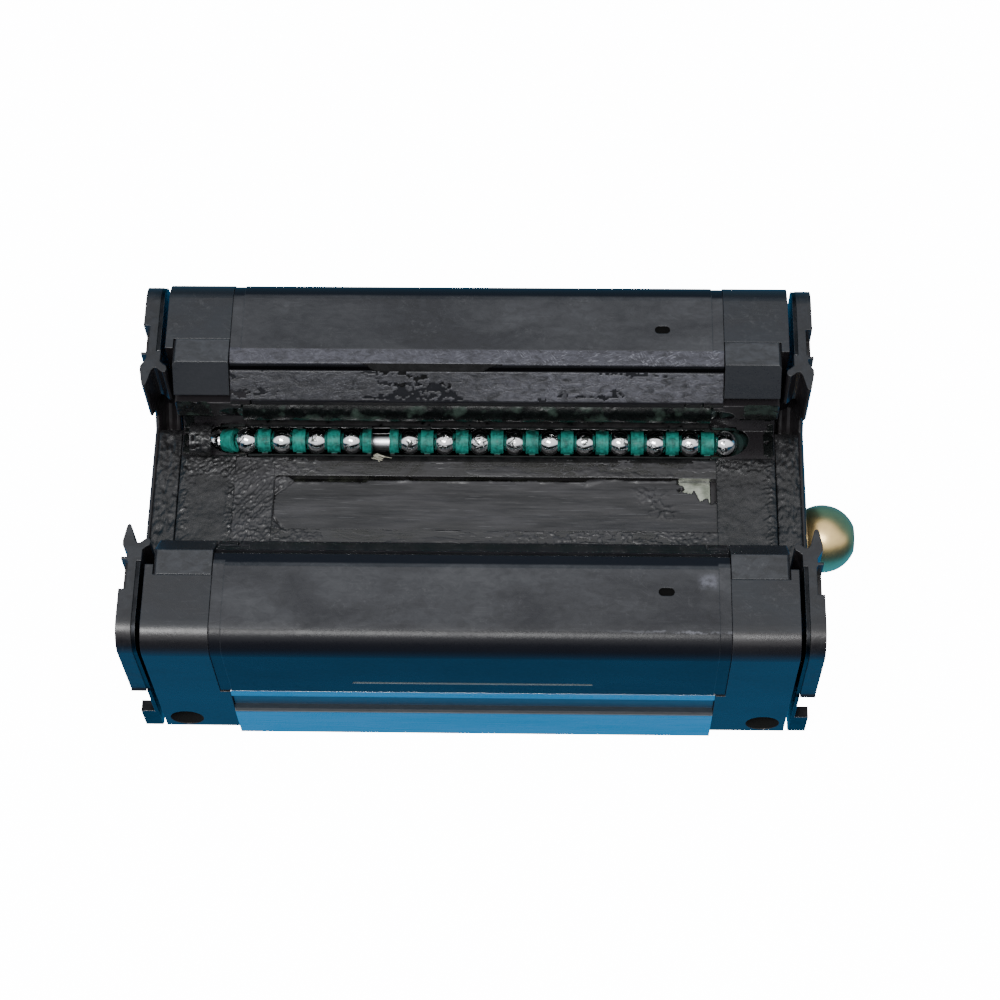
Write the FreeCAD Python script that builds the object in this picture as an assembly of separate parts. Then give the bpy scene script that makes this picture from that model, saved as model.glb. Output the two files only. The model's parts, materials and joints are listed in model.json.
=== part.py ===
"""Low-profile linear guide carriage with four rows of caged balls.

Frame: X runs along the rail, Z is the outward normal of the rail channel, and the origin is the
centre of the mounting face, so the channel opens towards +Z. "far" is the +Y side and "near" the
-Y side; "right" is the +X end and "left" the -X end. All lengths are millimetres.
"""
import FreeCAD
import Part
import math
import os

from FreeCAD import Matrix, Placement, Vector

# ---- driving dimensions: envelope --------------------------------------------------------------
HEIGHT = 25.0               # mounting face to the open side of the legs
STEEL_HALF_WIDTH = 24.0
STEEL_HALF_LENGTH = 27.6
CASE_HALF_WIDTH = 23.7
CASE_HALF_LENGTH = 28.75    # seam between casing and end cap
CAP_END = 36.25
SEAL_START = 36.8
SEAL_END = 39.0
CORNER_RADIUS = 3.0
SHELF_Z = 12.1              # where the casing sits on the steel
SHELF_GAP = 0.3             # open slit between the casing's end and the cap under it
LEG_OUTER_Y = 17.6          # steel leg
LEG_INNER_Y = 11.3
LEG_TOP_Z = 20.6
FLOOR_Z = 13.0              # channel floor
STEEL_FLOOR_Z = 12.0
REFERENCE_Z = 6.5           # top of the ground reference band on each side
RETAINER_HALF_LENGTH = 28.9
RETAINER_HALF_WIDTH = 6.1
WINDOW_LEFT = -24.0
WINDOW_HALF_WIDTH = 3.53
TONGUE_START = 26.5         # where each cap's tongue lies in a notch of the bottom seal
TONGUE_TOP_Z = 22.3
FIT = 0.05                  # assembly gap between neighbouring pieces
PAST = 1.0                  # how far a cutting tool runs past the face it cuts

# ---- balls and their chains --------------------------------------------------------------------
BALL_RADIUS = 1.5875
GROOVE_RADIUS = 1.65
RETURN_TUBE_RADIUS = 2.4
PASSAGE_RADIUS = 1.78
PITCH = 4.16
CHAIN_GAP = 6.93            # between the first and last ball of the open-ended chain
BAND_INNER = 1.63
BAND_OUTER = 1.90
BAND_HALF_THICKNESS = 0.15
GUIDE_WIDTH = 3.2           # the half-round core that the balls turn around
GUIDE_INSET = 0.9
SLOT_REACH = 2.05
SLOT_HALF_WIDTH = 0.42
SPACER_RADIUS = 1.4
SPACER_LENGTH = 1.5
CUP_RADIUS = 1.64
TRAVEL = 1.2                # each way, along the path

FLOOR_ROW = {"loaded": (8.0, 13.4), "angle": -65.5, "balls": 32, "first": -27.48, "gap_after": 3}
WAIST_ROW = {"loaded": (10.3, 18.2), "angle": 15.0, "balls": 34, "first": -27.1, "gap_after": 23}

# ---- mounting and lubrication ------------------------------------------------------------------
BOLT_SPACING = 35.0
BOLT_TAP_RADIUS = 2.5
BOLT_DEPTH = 9.5
BOLT_CHAMFER = 0.6
BOLT_DRILL_TIP = 1.2
SCREW_Y = 17.5
SCREW_Z = 8.0
SCREW_RADIUS = 1.45
SCREW_CLEARANCE = 0.15
SCREW_HEAD_RADIUS = 2.6
SCREW_HEAD_X = 37.37
SCREW_TIP_X = 21.6
SOCKET_HALF_FLATS = 1.0
PORT_Z = 4.2
PORT_RADIUS = 2.0
OIL_DRILLING_X = 32.2       # the cross drilling from the port to the turns
OIL_DRILLING_RADIUS = 0.8
PILOT_X = 33.6
PILOT_Z = 3.7
PILOT_RADIUS = 1.95
PILOT_DEPTH = 4.0
NIPPLE_RADIUS = 4.1
NIPPLE_CENTRE_X = 41.5
NIPPLE_END = 45.25
NIPPLE_BORE_RADIUS = 1.06
NIPPLE_MOUTH_RADIUS = 0.7
CHECK_BALL_X = 43.25
CHECK_BALL_RADIUS = 1.0
SPRING_START = 38.75
SPRING_WIRE_RADIUS = 0.1
SPRING_COIL_RADIUS = 0.8
SPRING_PITCH = 0.7

# ---- casing and strip details ------------------------------------------------------------------
CASE_SLOT = (-13.4, 13.6, 14.7, 15.1)       # x and z of the moulded line on each side
CASE_SLOT_DEPTH = 0.35
CASE_STEP_X = 27.4          # from here outwards the casing is a hair smaller
CASE_STEP = 0.08
PIT_X = 21.6                # moulding pit in the top of each casing
PIT_Y = 16.74
PIT_RADIUS = 0.5
PIT_LENGTH = 0.8
WAIST_STRIP_Y = 9.05        # the strip's edge next to the rail
WAIST_STRIP_Z = 21.05
STRIP_UNDERSIDE_Z = 20.25

# ---- seals -------------------------------------------------------------------------------------
LIP_HALF_OPENING = 8.9      # half width between the lip tips at the open side
SEAL_HALF_WIDTH = 23.4
SEAL_FOOT_HALF_WIDTH = 23.6
SEAL_BOTTOM = 0.3
RUBBER_LEG_Z = 11.5         # the rubber ends here outside RUBBER_LEG_Y
RUBBER_LEG_Y = 18.2
RUBBER_START = 37.25
PLATE_INSET = 0.05
PLATE_FOOT_Y = 22.2         # the plate's bent foot: inner face, top and end
PLATE_FOOT_Z = 5.3
PLATE_FOOT_END = 38.8
NECK_OFFSET = 4.1
PLATE_OFFSET = 4.65
CAP_RELIEF_OFFSET = 5.0
RELIEF_START = 35.3

SIDES = {"far": 1.0, "near": -1.0}
ENDS = {"right": 1.0, "left": -1.0}
X_AXIS = Vector(1, 0, 0)


# ---- small helpers -----------------------------------------------------------------------------
def save(shape, name):
    """Write one piece to its own STEP file."""
    os.makedirs("parts", exist_ok=True)
    if not shape.isValid():
        print("not valid:", name)
    shape.exportStep("parts/%s.step" % name)
    print("%-34s solids %2d  volume %10.3f" % (name, len(shape.Solids), shape.Volume))


def box(x0, x1, y0, y1, z0, z1):
    return Part.makeBox(x1 - x0, y1 - y0, z1 - z0, Vector(x0, y0, z0))


def rod(radius, start, direction, length):
    return Part.makeCylinder(radius, length, Vector(*start), Vector(*direction))


def fuse(shapes):
    first, *rest = shapes
    return first.multiFuse(rest).removeSplitter() if rest else first


def cut(shape, tools):
    return shape.cut(tools) if tools else shape


def place(shape, side, end=1.0):
    """Mirror a piece modelled at the far right to the side and end asked for."""
    if side < 0:
        shape = shape.mirror(Vector(0, 0, 0), Vector(0, 1, 0))
    if end < 0:
        shape = shape.mirror(Vector(0, 0, 0), Vector(1, 0, 0))
    return shape


def both(shape):
    """The piece and its mirror image across the middle plane."""
    return [shape, place(shape, -1.0)]


def prism(points, x0, x1):
    """A closed YZ outline pushed from x0 to x1. A dict entry is an arc: a point it goes through
    ("via") and the point it ends at ("to")."""
    edges = []
    start = points[0]
    for item in points[1:] + [points[0]]:
        a = Vector(x0, *start)
        if isinstance(item, dict):
            edges.append(Part.Arc(a, Vector(x0, *item["via"]), Vector(x0, *item["to"])).toShape())
            start = item["to"]
        else:
            edges.append(Part.LineSegment(a, Vector(x0, *item)).toShape())
            start = item
    return Part.Face(Part.Wire(edges)).extrude(Vector(x1 - x0, 0, 0))


def rounded_corner(half_width, top, radius):
    """From the side face up and round to the top face, at the far side."""
    centre_y = half_width - radius
    centre_z = top - radius
    middle = math.radians(45)
    via = (centre_y + radius * math.cos(middle), centre_z + radius * math.sin(middle))
    return [(half_width, centre_z), {"via": via, "to": (centre_y, top)}]


def offset_outline(points, distance):
    """Offset an open YZ outline sideways with mitred corners, away from the channel."""
    directions = []
    for (y0, z0), (y1, z1) in zip(points, points[1:]):
        length = math.hypot(y1 - y0, z1 - z0)
        directions.append(((y1 - y0) / length, (z1 - z0) / length))
    result = []
    for i, (y, z) in enumerate(points):
        before = directions[max(i - 1, 0)]
        after = directions[min(i, len(directions) - 1)]
        normal_y = -before[1] - after[1]
        normal_z = before[0] + after[0]
        scale = distance / (1.0 + before[0] * after[0] + before[1] * after[1])
        result.append((y + normal_y * scale, z + normal_z * scale))
    return result


# ---- ball circuits -----------------------------------------------------------------------------
class Circuit:
    """One endless ball path: a loaded run, a return run and a half-circle turn at each end."""

    def __init__(self, row, side):
        y, z = row["loaded"]
        angle = math.radians(row["angle"])
        path_length = (row["balls"] - 1) * PITCH + CHAIN_GAP
        self.run = 2 * STEEL_HALF_LENGTH
        self.radius = (path_length - 2 * self.run) / (2 * math.pi)
        self.arc = math.pi * self.radius
        self.loaded = Vector(0, y * side, z)
        self.across = Vector(0, math.cos(angle) * side, math.sin(angle))
        self.normal = X_AXIS.cross(self.across)
        self.centre = self.loaded + self.across * self.radius
        self.stations = self.ball_stations(row, path_length)

    def ball_stations(self, row, path_length):
        stations = [row["first"] + STEEL_HALF_LENGTH]
        for i in range(1, row["balls"]):
            step = CHAIN_GAP if i - 1 == row["gap_after"] else PITCH
            stations.append((stations[-1] + step) % path_length)
        return stations

    def segment(self, station):
        """The segment that a station lies on, and how far along that segment it is."""
        for name, length in (("loaded", self.run), ("turn_right", self.arc),
                             ("return", self.run), ("turn_left", self.arc)):
            if station < length:
                return name, station
            station -= length
        return "loaded", station

    def frame(self, name, along):
        """Position and direction of travel at a place on a segment."""
        if name == "loaded":
            return self.loaded + X_AXIS * (along - STEEL_HALF_LENGTH), X_AXIS
        if name == "return":
            start = self.centre + self.across * self.radius
            return start + X_AXIS * (STEEL_HALF_LENGTH - along), X_AXIS * -1
        theta = along / self.radius
        sign = 1.0 if name == "turn_right" else -1.0
        hub = self.centre + X_AXIS * (sign * STEEL_HALF_LENGTH)
        arm = X_AXIS * math.sin(theta) - self.across * math.cos(theta)
        travel = X_AXIS * math.cos(theta) + self.across * math.sin(theta)
        return hub + arm * (self.radius * sign), travel * sign

    def seen_from(self, name, point, travel):
        """Where a point lies for a segment that has itself moved by `travel`."""
        if name in ("loaded", "return"):
            _, direction = self.frame(name, 0.0)
            return point - direction * travel
        sign = 1.0 if name == "turn_right" else -1.0
        hub = self.centre + X_AXIS * (sign * STEEL_HALF_LENGTH)
        back = FreeCAD.Rotation(self.normal, -math.degrees(travel / self.radius))
        return hub + back.multVec(point - hub)

    def put(self, shape, name, along):
        """Place a shape drawn along X, with its band direction along Z, on the path."""
        position, travel = self.frame(name, along)
        side = self.normal.cross(travel)
        moved = shape.copy()
        moved.Placement = Placement(Matrix(
            travel.x, side.x, self.normal.x, position.x,
            travel.y, side.y, self.normal.y, position.y,
            travel.z, side.z, self.normal.z, position.z,
            0, 0, 0, 1))
        return moved

    def section_face(self, name, along, half_side, reach_from, reach_to):
        """A rectangle across the path."""
        position, travel = self.frame(name, along)
        side = self.normal.cross(travel)
        corners = []
        for a, b in ((-1, reach_from), (1, reach_from), (1, reach_to), (-1, reach_to)):
            corners.append(position + side * (a * half_side) + self.normal * b)
        return Part.Face(Part.makePolygon(corners + corners[:1]))

    def sweep(self, face, name, start, stop):
        """Carry a face that stands at `start` along its segment to `stop`."""
        if name in ("loaded", "return"):
            _, travel = self.frame(name, start)
            return face.extrude(travel * (stop - start))
        sign = 1.0 if name == "turn_right" else -1.0
        hub = self.centre + X_AXIS * (sign * STEEL_HALF_LENGTH)
        return face.revolve(hub, self.normal, math.degrees((stop - start) / self.radius))

    def passage(self, name, start, stop):
        """The space that balls and bands need along a segment."""
        position, travel = self.frame(name, start)
        circle = Part.Face(Part.Wire(Part.makeCircle(PASSAGE_RADIUS, position, travel)))
        slot = self.section_face(name, start, SLOT_HALF_WIDTH, -SLOT_REACH, SLOT_REACH)
        return [self.sweep(circle, name, start, stop), self.sweep(slot, name, start, stop)]

    def balls(self, segment):
        ball = Part.makeSphere(BALL_RADIUS)
        placed = []
        for station in self.stations:
            name, along = self.segment(station)
            if name == segment:
                placed.append(self.put(ball, name, along))
        return Part.makeCompound(placed)

    def cups(self, segment, places):
        """Room for the balls: a segment's own, and the next segments' over the whole travel."""
        tools = []
        for i, (name, along) in enumerate(places):
            beside = {places[i - 1][0], places[(i + 1) % len(places)][0]}
            if name == segment:
                tools.append(self.put(Part.makeSphere(CUP_RADIUS), name, along))
            elif segment in beside:
                for travel in (-TRAVEL, -TRAVEL / 2, 0.0, TRAVEL / 2, TRAVEL):
                    point, _ = self.frame(name, along + travel)
                    point = self.seen_from(segment, point, travel)
                    tools.append(Part.makeSphere(CUP_RADIUS, point))
        return tools

    def chain(self, segment):
        """Spacers between the balls of one segment, joined by the two side bands."""
        places = [self.segment(s) for s in self.stations]
        pieces = []
        gaps = []
        path_length = 2 * (self.run + self.arc)
        for i, station in enumerate(self.stations):
            following = self.stations[(i + 1) % len(self.stations)]
            step = (following - station) % path_length
            middle = (station + step / 2) % path_length
            name, along = self.segment(middle)
            if name != segment:
                continue
            if step > PITCH * 1.2:
                gaps.append((along - step / 2 + PITCH / 2, along + step / 2 - PITCH / 2))
                pieces.append(self.put(end_spacer(1.0), name, gaps[-1][0]))
                pieces.append(self.put(end_spacer(-1.0), name, gaps[-1][1]))
                continue
            pieces.append(self.put(full_spacer(), name, along))
        length = self.run if segment in ("loaded", "return") else self.arc
        spans = band_spans(0.2, length - 0.2, gaps)
        for sign in (-1.0, 1.0):
            for start, stop in spans:
                face = self.section_face(segment, start, BAND_HALF_THICKNESS,
                                         sign * BAND_INNER, sign * BAND_OUTER)
                pieces.append(self.sweep(face, segment, start, stop))
        return cut(fuse(pieces), self.cups(segment, places))


def band_spans(start, stop, gaps):
    spans = []
    for gap_start, gap_stop in gaps:
        spans.append((start, gap_start + 0.25))
        start = gap_stop - 0.25
    spans.append((start, stop))
    return spans


def spacer_web(half_length):
    """The bridge that ties a spacer to both bands."""
    return box(-half_length, half_length, -BAND_HALF_THICKNESS, BAND_HALF_THICKNESS,
               -BAND_OUTER + 0.05, BAND_OUTER - 0.05)


def full_spacer():
    """A spacer between two balls, before the balls' cups are cut."""
    body = rod(SPACER_RADIUS, (-SPACER_LENGTH / 2, 0, 0), (1, 0, 0), SPACER_LENGTH)
    return body.fuse(spacer_web(0.35))


def end_spacer(sign):
    """The spacer at an open end of the chain, flat on the side that faces the gap."""
    body = rod(SPACER_RADIUS, (-SPACER_LENGTH / 2 * sign, 0, 0), (sign, 0, 0), SPACER_LENGTH / 2 + 0.3)
    return body.fuse(spacer_web(0.25))


CIRCUITS = {}
for side_name, side_sign in SIDES.items():
    CIRCUITS["floor_row_" + side_name] = Circuit(FLOOR_ROW, side_sign)
    CIRCUITS["waist_row_" + side_name] = Circuit(WAIST_ROW, side_sign)

FAR_FLOOR = CIRCUITS["floor_row_far"]
FAR_WAIST = CIRCUITS["waist_row_far"]


def turn_passages():
    """Both turns' passages at the far right corner."""
    tools = []
    for circuit in (FAR_FLOOR, FAR_WAIST):
        tools += circuit.passage("turn_right", 0.0, circuit.arc)
    return tools


# ---- channel outlines at the far side, from the open side to the middle -------------------------
CAP_CHANNEL = [(12.1, HEIGHT), (9.15, 21.5), (9.0, 21.2), (9.0, 17.7), (10.9, 16.2),
               (10.9, 14.2), (9.9, FLOOR_Z)]
LIP_CHANNEL = [(LIP_HALF_OPENING, HEIGHT), (LIP_HALF_OPENING, 17.6), (10.75, 16.1),
               (10.75, 14.3), (9.7, 13.3)]


def across(points):
    """Complete an outline of the far half with its mirror image."""
    return points + [(-y, z) for y, z in reversed(points)]


def channel_cut(outline, x0, x1):
    """The volume inside a channel outline, carried well past the open side."""
    y = outline[0][0]
    top = HEIGHT + 5.0
    return prism([(y, top)] + outline + [(-y, top)], x0, x1)


# ---- steel block -------------------------------------------------------------------------------
STEEL_PROFILE = [(23.8, 0), (STEEL_HALF_WIDTH, 0.2), (STEEL_HALF_WIDTH, REFERENCE_Z),
                 (23.3, 7.5), (23.3, 10.4), (23.7, 10.6), (23.7, SHELF_Z),
                 (LEG_OUTER_Y, SHELF_Z), (LEG_OUTER_Y, LEG_TOP_Z - 0.4),
                 (LEG_OUTER_Y - 0.4, LEG_TOP_Z), (LEG_INNER_Y, LEG_TOP_Z), (LEG_INNER_Y, 14.1),
                 (10.2, 12.6), (7.3, 12.6), (7.3, STEEL_FLOOR_Z)]


def steel_block():
    """The ground block with its ball grooves, return bores and tapped holes."""
    block = prism(across(STEEL_PROFILE), -STEEL_HALF_LENGTH, STEEL_HALF_LENGTH)
    tools = []
    for circuit in CIRCUITS.values():
        tools.append(along_block(circuit.loaded, GROOVE_RADIUS))
    for side in SIDES:
        circuit = CIRCUITS["floor_row_" + side]
        tools.append(along_block(circuit.centre + circuit.across * circuit.radius, RETURN_TUBE_RADIUS + FIT))
    for x in (-BOLT_SPACING / 2, BOLT_SPACING / 2):
        for y in (-BOLT_SPACING / 2, BOLT_SPACING / 2):
            tools += bolt_hole(x, y)
    for end in ENDS.values():
        for y in (-SCREW_Y, SCREW_Y):
            start = (end * (SCREW_TIP_X - 0.3), y, SCREW_Z)
            tools.append(rod(SCREW_RADIUS + FIT, start, (end, 0, 0), STEEL_HALF_LENGTH - SCREW_TIP_X + 4))
    return cut(block, tools)


def along_block(centre, radius):
    """A round tool through the whole length of the block."""
    start = centre - X_AXIS * (STEEL_HALF_LENGTH + PAST)
    return Part.makeCylinder(radius, 2 * (STEEL_HALF_LENGTH + PAST), start, X_AXIS)


def bolt_hole(x, y):
    """A blind hole from the mounting face, with its chamfer and drill tip."""
    return [rod(BOLT_TAP_RADIUS, (x, y, -PAST), (0, 0, 1), BOLT_DEPTH + PAST),
            Part.makeCone(BOLT_TAP_RADIUS + BOLT_CHAMFER, BOLT_TAP_RADIUS, BOLT_CHAMFER, Vector(x, y, 0)),
            Part.makeCone(BOLT_TAP_RADIUS, 0, BOLT_DRILL_TIP, Vector(x, y, BOLT_DEPTH))]


# ---- moulded pieces on the steel ---------------------------------------------------------------
def casing():
    """The return cover on the far leg, with the waist row's return passage in it."""
    outline = [(CASE_HALF_WIDTH, SHELF_Z + FIT)]
    outline += rounded_corner(CASE_HALF_WIDTH, HEIGHT, CORNER_RADIUS)
    outline += [(14.0, HEIGHT), (12.3, 24.55), (12.0, 24.2), (12.0, LEG_TOP_Z + FIT),
                (LEG_OUTER_Y + FIT, LEG_TOP_Z + FIT), (LEG_OUTER_Y + FIT, SHELF_Z + FIT)]
    body = prism(outline, -CASE_HALF_LENGTH + FIT, CASE_HALF_LENGTH - FIT)
    tools = FAR_WAIST.passage("return", -2 * PAST, FAR_WAIST.run + 2 * PAST)
    for end in ENDS.values():
        tools.append(place(guide_blank(FAR_WAIST, FIT), 1.0, end))
        tools.append(place(case_step(), 1.0, end))
    left, right, low, high = CASE_SLOT
    tools.append(box(left, right, CASE_HALF_WIDTH - CASE_SLOT_DEPTH, CASE_HALF_WIDTH + PAST, low, high))
    return cut(body, tools + [moulding_pit()])


def case_step():
    """The skin taken off the outside of the casing's far right end."""
    skin = [(CASE_HALF_WIDTH + PAST, SHELF_Z - PAST), (CASE_HALF_WIDTH + PAST, HEIGHT + PAST),
            (12.0, HEIGHT + PAST), (12.0, HEIGHT - CASE_STEP)]
    edge = rounded_corner(CASE_HALF_WIDTH - CASE_STEP, HEIGHT - CASE_STEP, CORNER_RADIUS)
    skin.append(edge[1]["to"])
    skin.append({"via": edge[1]["via"], "to": edge[0]})
    skin.append((CASE_HALF_WIDTH - CASE_STEP, SHELF_Z - PAST))
    return prism(skin, CASE_STEP_X, CASE_HALF_LENGTH + PAST)


def moulding_pit():
    """The oblong pit in the casing's top face, near its right end."""
    z = HEIGHT - PIT_RADIUS / 5
    start = PIT_X - PIT_LENGTH / 2
    ends = [Part.makeSphere(PIT_RADIUS, Vector(x, PIT_Y, z)) for x in (start, start + PIT_LENGTH)]
    return fuse(ends + [rod(PIT_RADIUS, (start, PIT_Y, z), (1, 0, 0), PIT_LENGTH)])


def seal_strip():
    """The slanted strip along the far leg, before its ends are notched."""
    outline = [(11.6, 24.0), (WAIST_STRIP_Y, WAIST_STRIP_Z), (WAIST_STRIP_Y, STRIP_UNDERSIDE_Z),
               (10.7, STRIP_UNDERSIDE_Z), (11.1, LEG_TOP_Z + FIT), (11.95, LEG_TOP_Z + FIT), (11.95, 23.6)]
    end = CASE_HALF_LENGTH - FIT
    strip = prism(outline, -end, end)
    edges = [edge for edge in strip.Edges
             if edge.Length > end and abs(edge.Vertexes[0].Z - WAIST_STRIP_Z) < 0.01]
    return strip.makeFillet(0.25, edges)


def tongue_space(gap):
    """The notch at the right end of the far strip, larger by `gap` than what lies in it."""
    return box(TONGUE_START - gap, CASE_HALF_LENGTH + PAST, 8.0, 10.6 + gap, 20.0, TONGUE_TOP_Z + gap)


def bottom_seal():
    """The strip that closes the gap to the rail's waist along the far leg."""
    tools = [place(tongue_space(0.2), 1.0, end) for end in ENDS.values()]
    tools.append(box(24.2, 24.4, 8.0, WAIST_STRIP_Y + 0.3, 20.0, 24.5))
    tools.append(box(-26.8, -25.1, 8.0, 10.3, TONGUE_TOP_Z, TONGUE_TOP_Z + 0.2))
    return cut(seal_strip(), tools)


def floor_retainer():
    """The plate between the two floor rows, with its shallow window."""
    outline = [(RETAINER_HALF_WIDTH, STEEL_FLOOR_Z + FIT), (RETAINER_HALF_WIDTH, FLOOR_Z - 0.2),
               (RETAINER_HALF_WIDTH - 0.2, FLOOR_Z)]
    plate = prism(across(outline), -RETAINER_HALF_LENGTH, RETAINER_HALF_LENGTH)
    window = box(WINDOW_LEFT, RETAINER_HALF_LENGTH + 4, -WINDOW_HALF_WIDTH, WINDOW_HALF_WIDTH,
                 STEEL_FLOOR_Z - PAST, FLOOR_Z + PAST)
    corners = [edge for edge in window.Edges if edge.BoundBox.ZLength > PAST]
    return cut(plate, [window.makeFillet(0.5, corners)])


def return_tube():
    """The sleeve in the far return bore, slotted for the chain's bands."""
    middle = FAR_FLOOR.centre + FAR_FLOOR.across * FAR_FLOOR.radius
    length = FAR_FLOOR.run - 0.1
    body = Part.makeCylinder(RETURN_TUBE_RADIUS, length, middle - X_AXIS * (length / 2), X_AXIS)
    return cut(body, FAR_FLOOR.passage("return", -PAST, FAR_FLOOR.run + PAST))


# ---- end cap -----------------------------------------------------------------------------------
def insert_space(gap):
    return box(CASE_HALF_LENGTH - PAST, RELIEF_START + gap, 0, 15.1 + gap, 21.8 - gap, HEIGHT + PAST)


def guide_blank(circuit, gap):
    """The half-round core inside a turn, from the steel's end face outwards."""
    hub = circuit.centre + X_AXIS * STEEL_HALF_LENGTH
    width = GUIDE_WIDTH + 2 * gap
    core_radius = circuit.radius - GUIDE_INSET + gap
    core = Part.makeCylinder(core_radius, width, hub - circuit.normal * (width / 2), circuit.normal)
    outward = box(STEEL_HALF_LENGTH, STEEL_HALF_LENGTH + 20, -40, 40, -10, 40)
    return core.common(outward)


def cap_outline():
    half = [(22.9, 0.5), (CASE_HALF_WIDTH, 1.3)]
    half += rounded_corner(CASE_HALF_WIDTH, HEIGHT, CORNER_RADIUS)
    half += CAP_CHANNEL
    return half


def mirrored_outline(half):
    """Close a far-half outline that holds arcs with its mirror image."""
    plain = []
    arcs = []
    for item in half:
        if isinstance(item, dict):
            arcs.append((len(plain) - 1, item["via"]))
            plain.append(item["to"])
        else:
            plain.append(item)
    outline = list(half)
    mirrored = list(reversed(plain))
    starts = {len(plain) - 2 - i: via for i, via in arcs}
    for k, (y, z) in enumerate(mirrored):
        via = starts.get(k - 1)
        if via is None:
            outline.append((-y, z))
        else:
            outline.append({"via": (-via[0], via[1]), "to": (-y, z)})
    return outline


def end_cap(end):
    """The moulded cap that turns all four rows, modelled for the right end."""
    inside = STEEL_HALF_LENGTH - 5
    top = HEIGHT + PAST
    outer = CASE_HALF_WIDTH + 5
    body = prism(mirrored_outline(cap_outline()), STEEL_HALF_LENGTH + FIT, CAP_END)
    relief = offset_outline(across(LIP_CHANNEL), CAP_RELIEF_OFFSET)
    tools = [channel_cut(relief, RELIEF_START, CAP_END + PAST)]
    far = turn_passages()
    far.append(insert_space(FIT))
    far.append(guide_blank(FAR_FLOOR, FIT))
    far.append(guide_blank(FAR_WAIST, FIT))
    far.append(box(inside, CASE_HALF_LENGTH, LEG_OUTER_Y - 5.6, outer, LEG_TOP_Z, top))
    far.append(box(inside, CASE_HALF_LENGTH, LEG_OUTER_Y, outer, SHELF_Z - SHELF_GAP, top))
    far.append(box(inside, CASE_HALF_LENGTH, 8.0, 12.5, 20.2, top))
    far.append(rod(SCREW_RADIUS + SCREW_CLEARANCE, (inside, SCREW_Y, SCREW_Z), (1, 0, 0), 30))
    far.append(rod(PILOT_RADIUS, (PILOT_X, CASE_HALF_WIDTH - PILOT_DEPTH, PILOT_Z), (0, 1, 0), 9))
    far.append(box(inside, RETAINER_HALF_LENGTH + FIT, -1, RETAINER_HALF_WIDTH + FIT, STEEL_FLOOR_Z, HEIGHT))
    far.append(box(CASE_HALF_LENGTH, CAP_END + 4, 8.0, 10.4, 20.7, 21.8))
    for tool in far:
        tools += both(tool)
    tools.append(rod(PORT_RADIUS + 0.03, (29.8, 0, PORT_Z), (1, 0, 0), 20))
    tools.append(rod(OIL_DRILLING_RADIUS, (OIL_DRILLING_X, -11.2, PORT_Z), (0, 1, 0), 22.4))
    tools.append(box(CAP_END - 0.7, CAP_END + PAST, -30, 30, -1, 0.9))
    pieces = [cut(body, tools)] + both(cap_tongue()) + both(cap_pad())
    return place(fuse(pieces), 1.0, end)


def cap_pad():
    """The round pad that the seal plate bears on, around the far screw."""
    start = CAP_END - 0.1
    pad = rod(3.1, (start, SCREW_Y, SCREW_Z), (1, 0, 0), SEAL_START - 0.02 - start)
    return cut(pad, [rod(SCREW_RADIUS + SCREW_CLEARANCE, (start - PAST, SCREW_Y, SCREW_Z), (1, 0, 0), 9)])


def cap_tongue():
    """The tongue that reaches into the strip's notch from the far right cap leg."""
    tongue = seal_strip().common(tongue_space(0.0))
    root = box(CASE_HALF_LENGTH - 0.1, CASE_HALF_LENGTH + PAST, WAIST_STRIP_Y, 10.6,
               STRIP_UNDERSIDE_Z, STRIP_UNDERSIDE_Z + 0.43)
    return tongue.fuse(root)


def leg_insert():
    """The small block let into the inner edge of the far right cap leg."""
    body = prism(mirrored_outline(cap_outline()), CASE_HALF_LENGTH + FIT, RELIEF_START)
    block = body.common(insert_space(0.0))
    edges = [edge for edge in block.Edges
             if abs(edge.CenterOfMass.x - RELIEF_START) < 0.01 and edge.CenterOfMass.z > HEIGHT - 0.01]
    return block.makeChamfer(0.3, edges)


def return_guides(circuit, end):
    """The cores that the balls roll round inside both turns at one end."""
    tools = circuit.passage("turn_right", -0.5, circuit.arc + 0.5)
    core = cut(guide_blank(circuit, 0.0), tools)
    core = max(core.Solids, key=lambda solid: solid.Volume)
    return Part.makeCompound([place(piece, 1.0, end) for piece in both(core)])


# ---- end seals ---------------------------------------------------------------------------------
def seal_outline(inset):
    half = [(SEAL_FOOT_HALF_WIDTH - 0.5 - inset, SEAL_BOTTOM + inset),
            (SEAL_FOOT_HALF_WIDTH - inset, SEAL_BOTTOM + 0.7 + inset),
            (SEAL_FOOT_HALF_WIDTH - inset, RUBBER_LEG_Z), (SEAL_HALF_WIDTH - inset, RUBBER_LEG_Z + 0.4)]
    half += rounded_corner(SEAL_HALF_WIDTH - inset, HEIGHT - inset, CORNER_RADIUS - inset)
    return half


def seal_sheet(inset, channel_offset, x0, x1):
    sheet = prism(mirrored_outline(seal_outline(inset)), x0, x1)
    opening = offset_outline(across(LIP_CHANNEL), channel_offset)
    return cut(sheet, [channel_cut(opening, x0 - PAST, x1 + PAST)])


LIP_SECTION = [(36.72, 4.6), (36.72, 3.2), (36.35, 2.85), (35.95, 2.6), (35.85, 2.2), (36.0, 1.85),
               (36.3, 1.75), (36.65, 2.0), (37.0, 2.3), (37.35, 2.35), (37.65, 2.0), (38.1, 0.3),
               (38.25, 0.05), (38.45, 0.0), (38.65, 0.25), (38.98, 2.0), (38.98, 2.6), (38.6, 3.2),
               (38.35, 3.6), (38.35, 4.6)]


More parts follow.
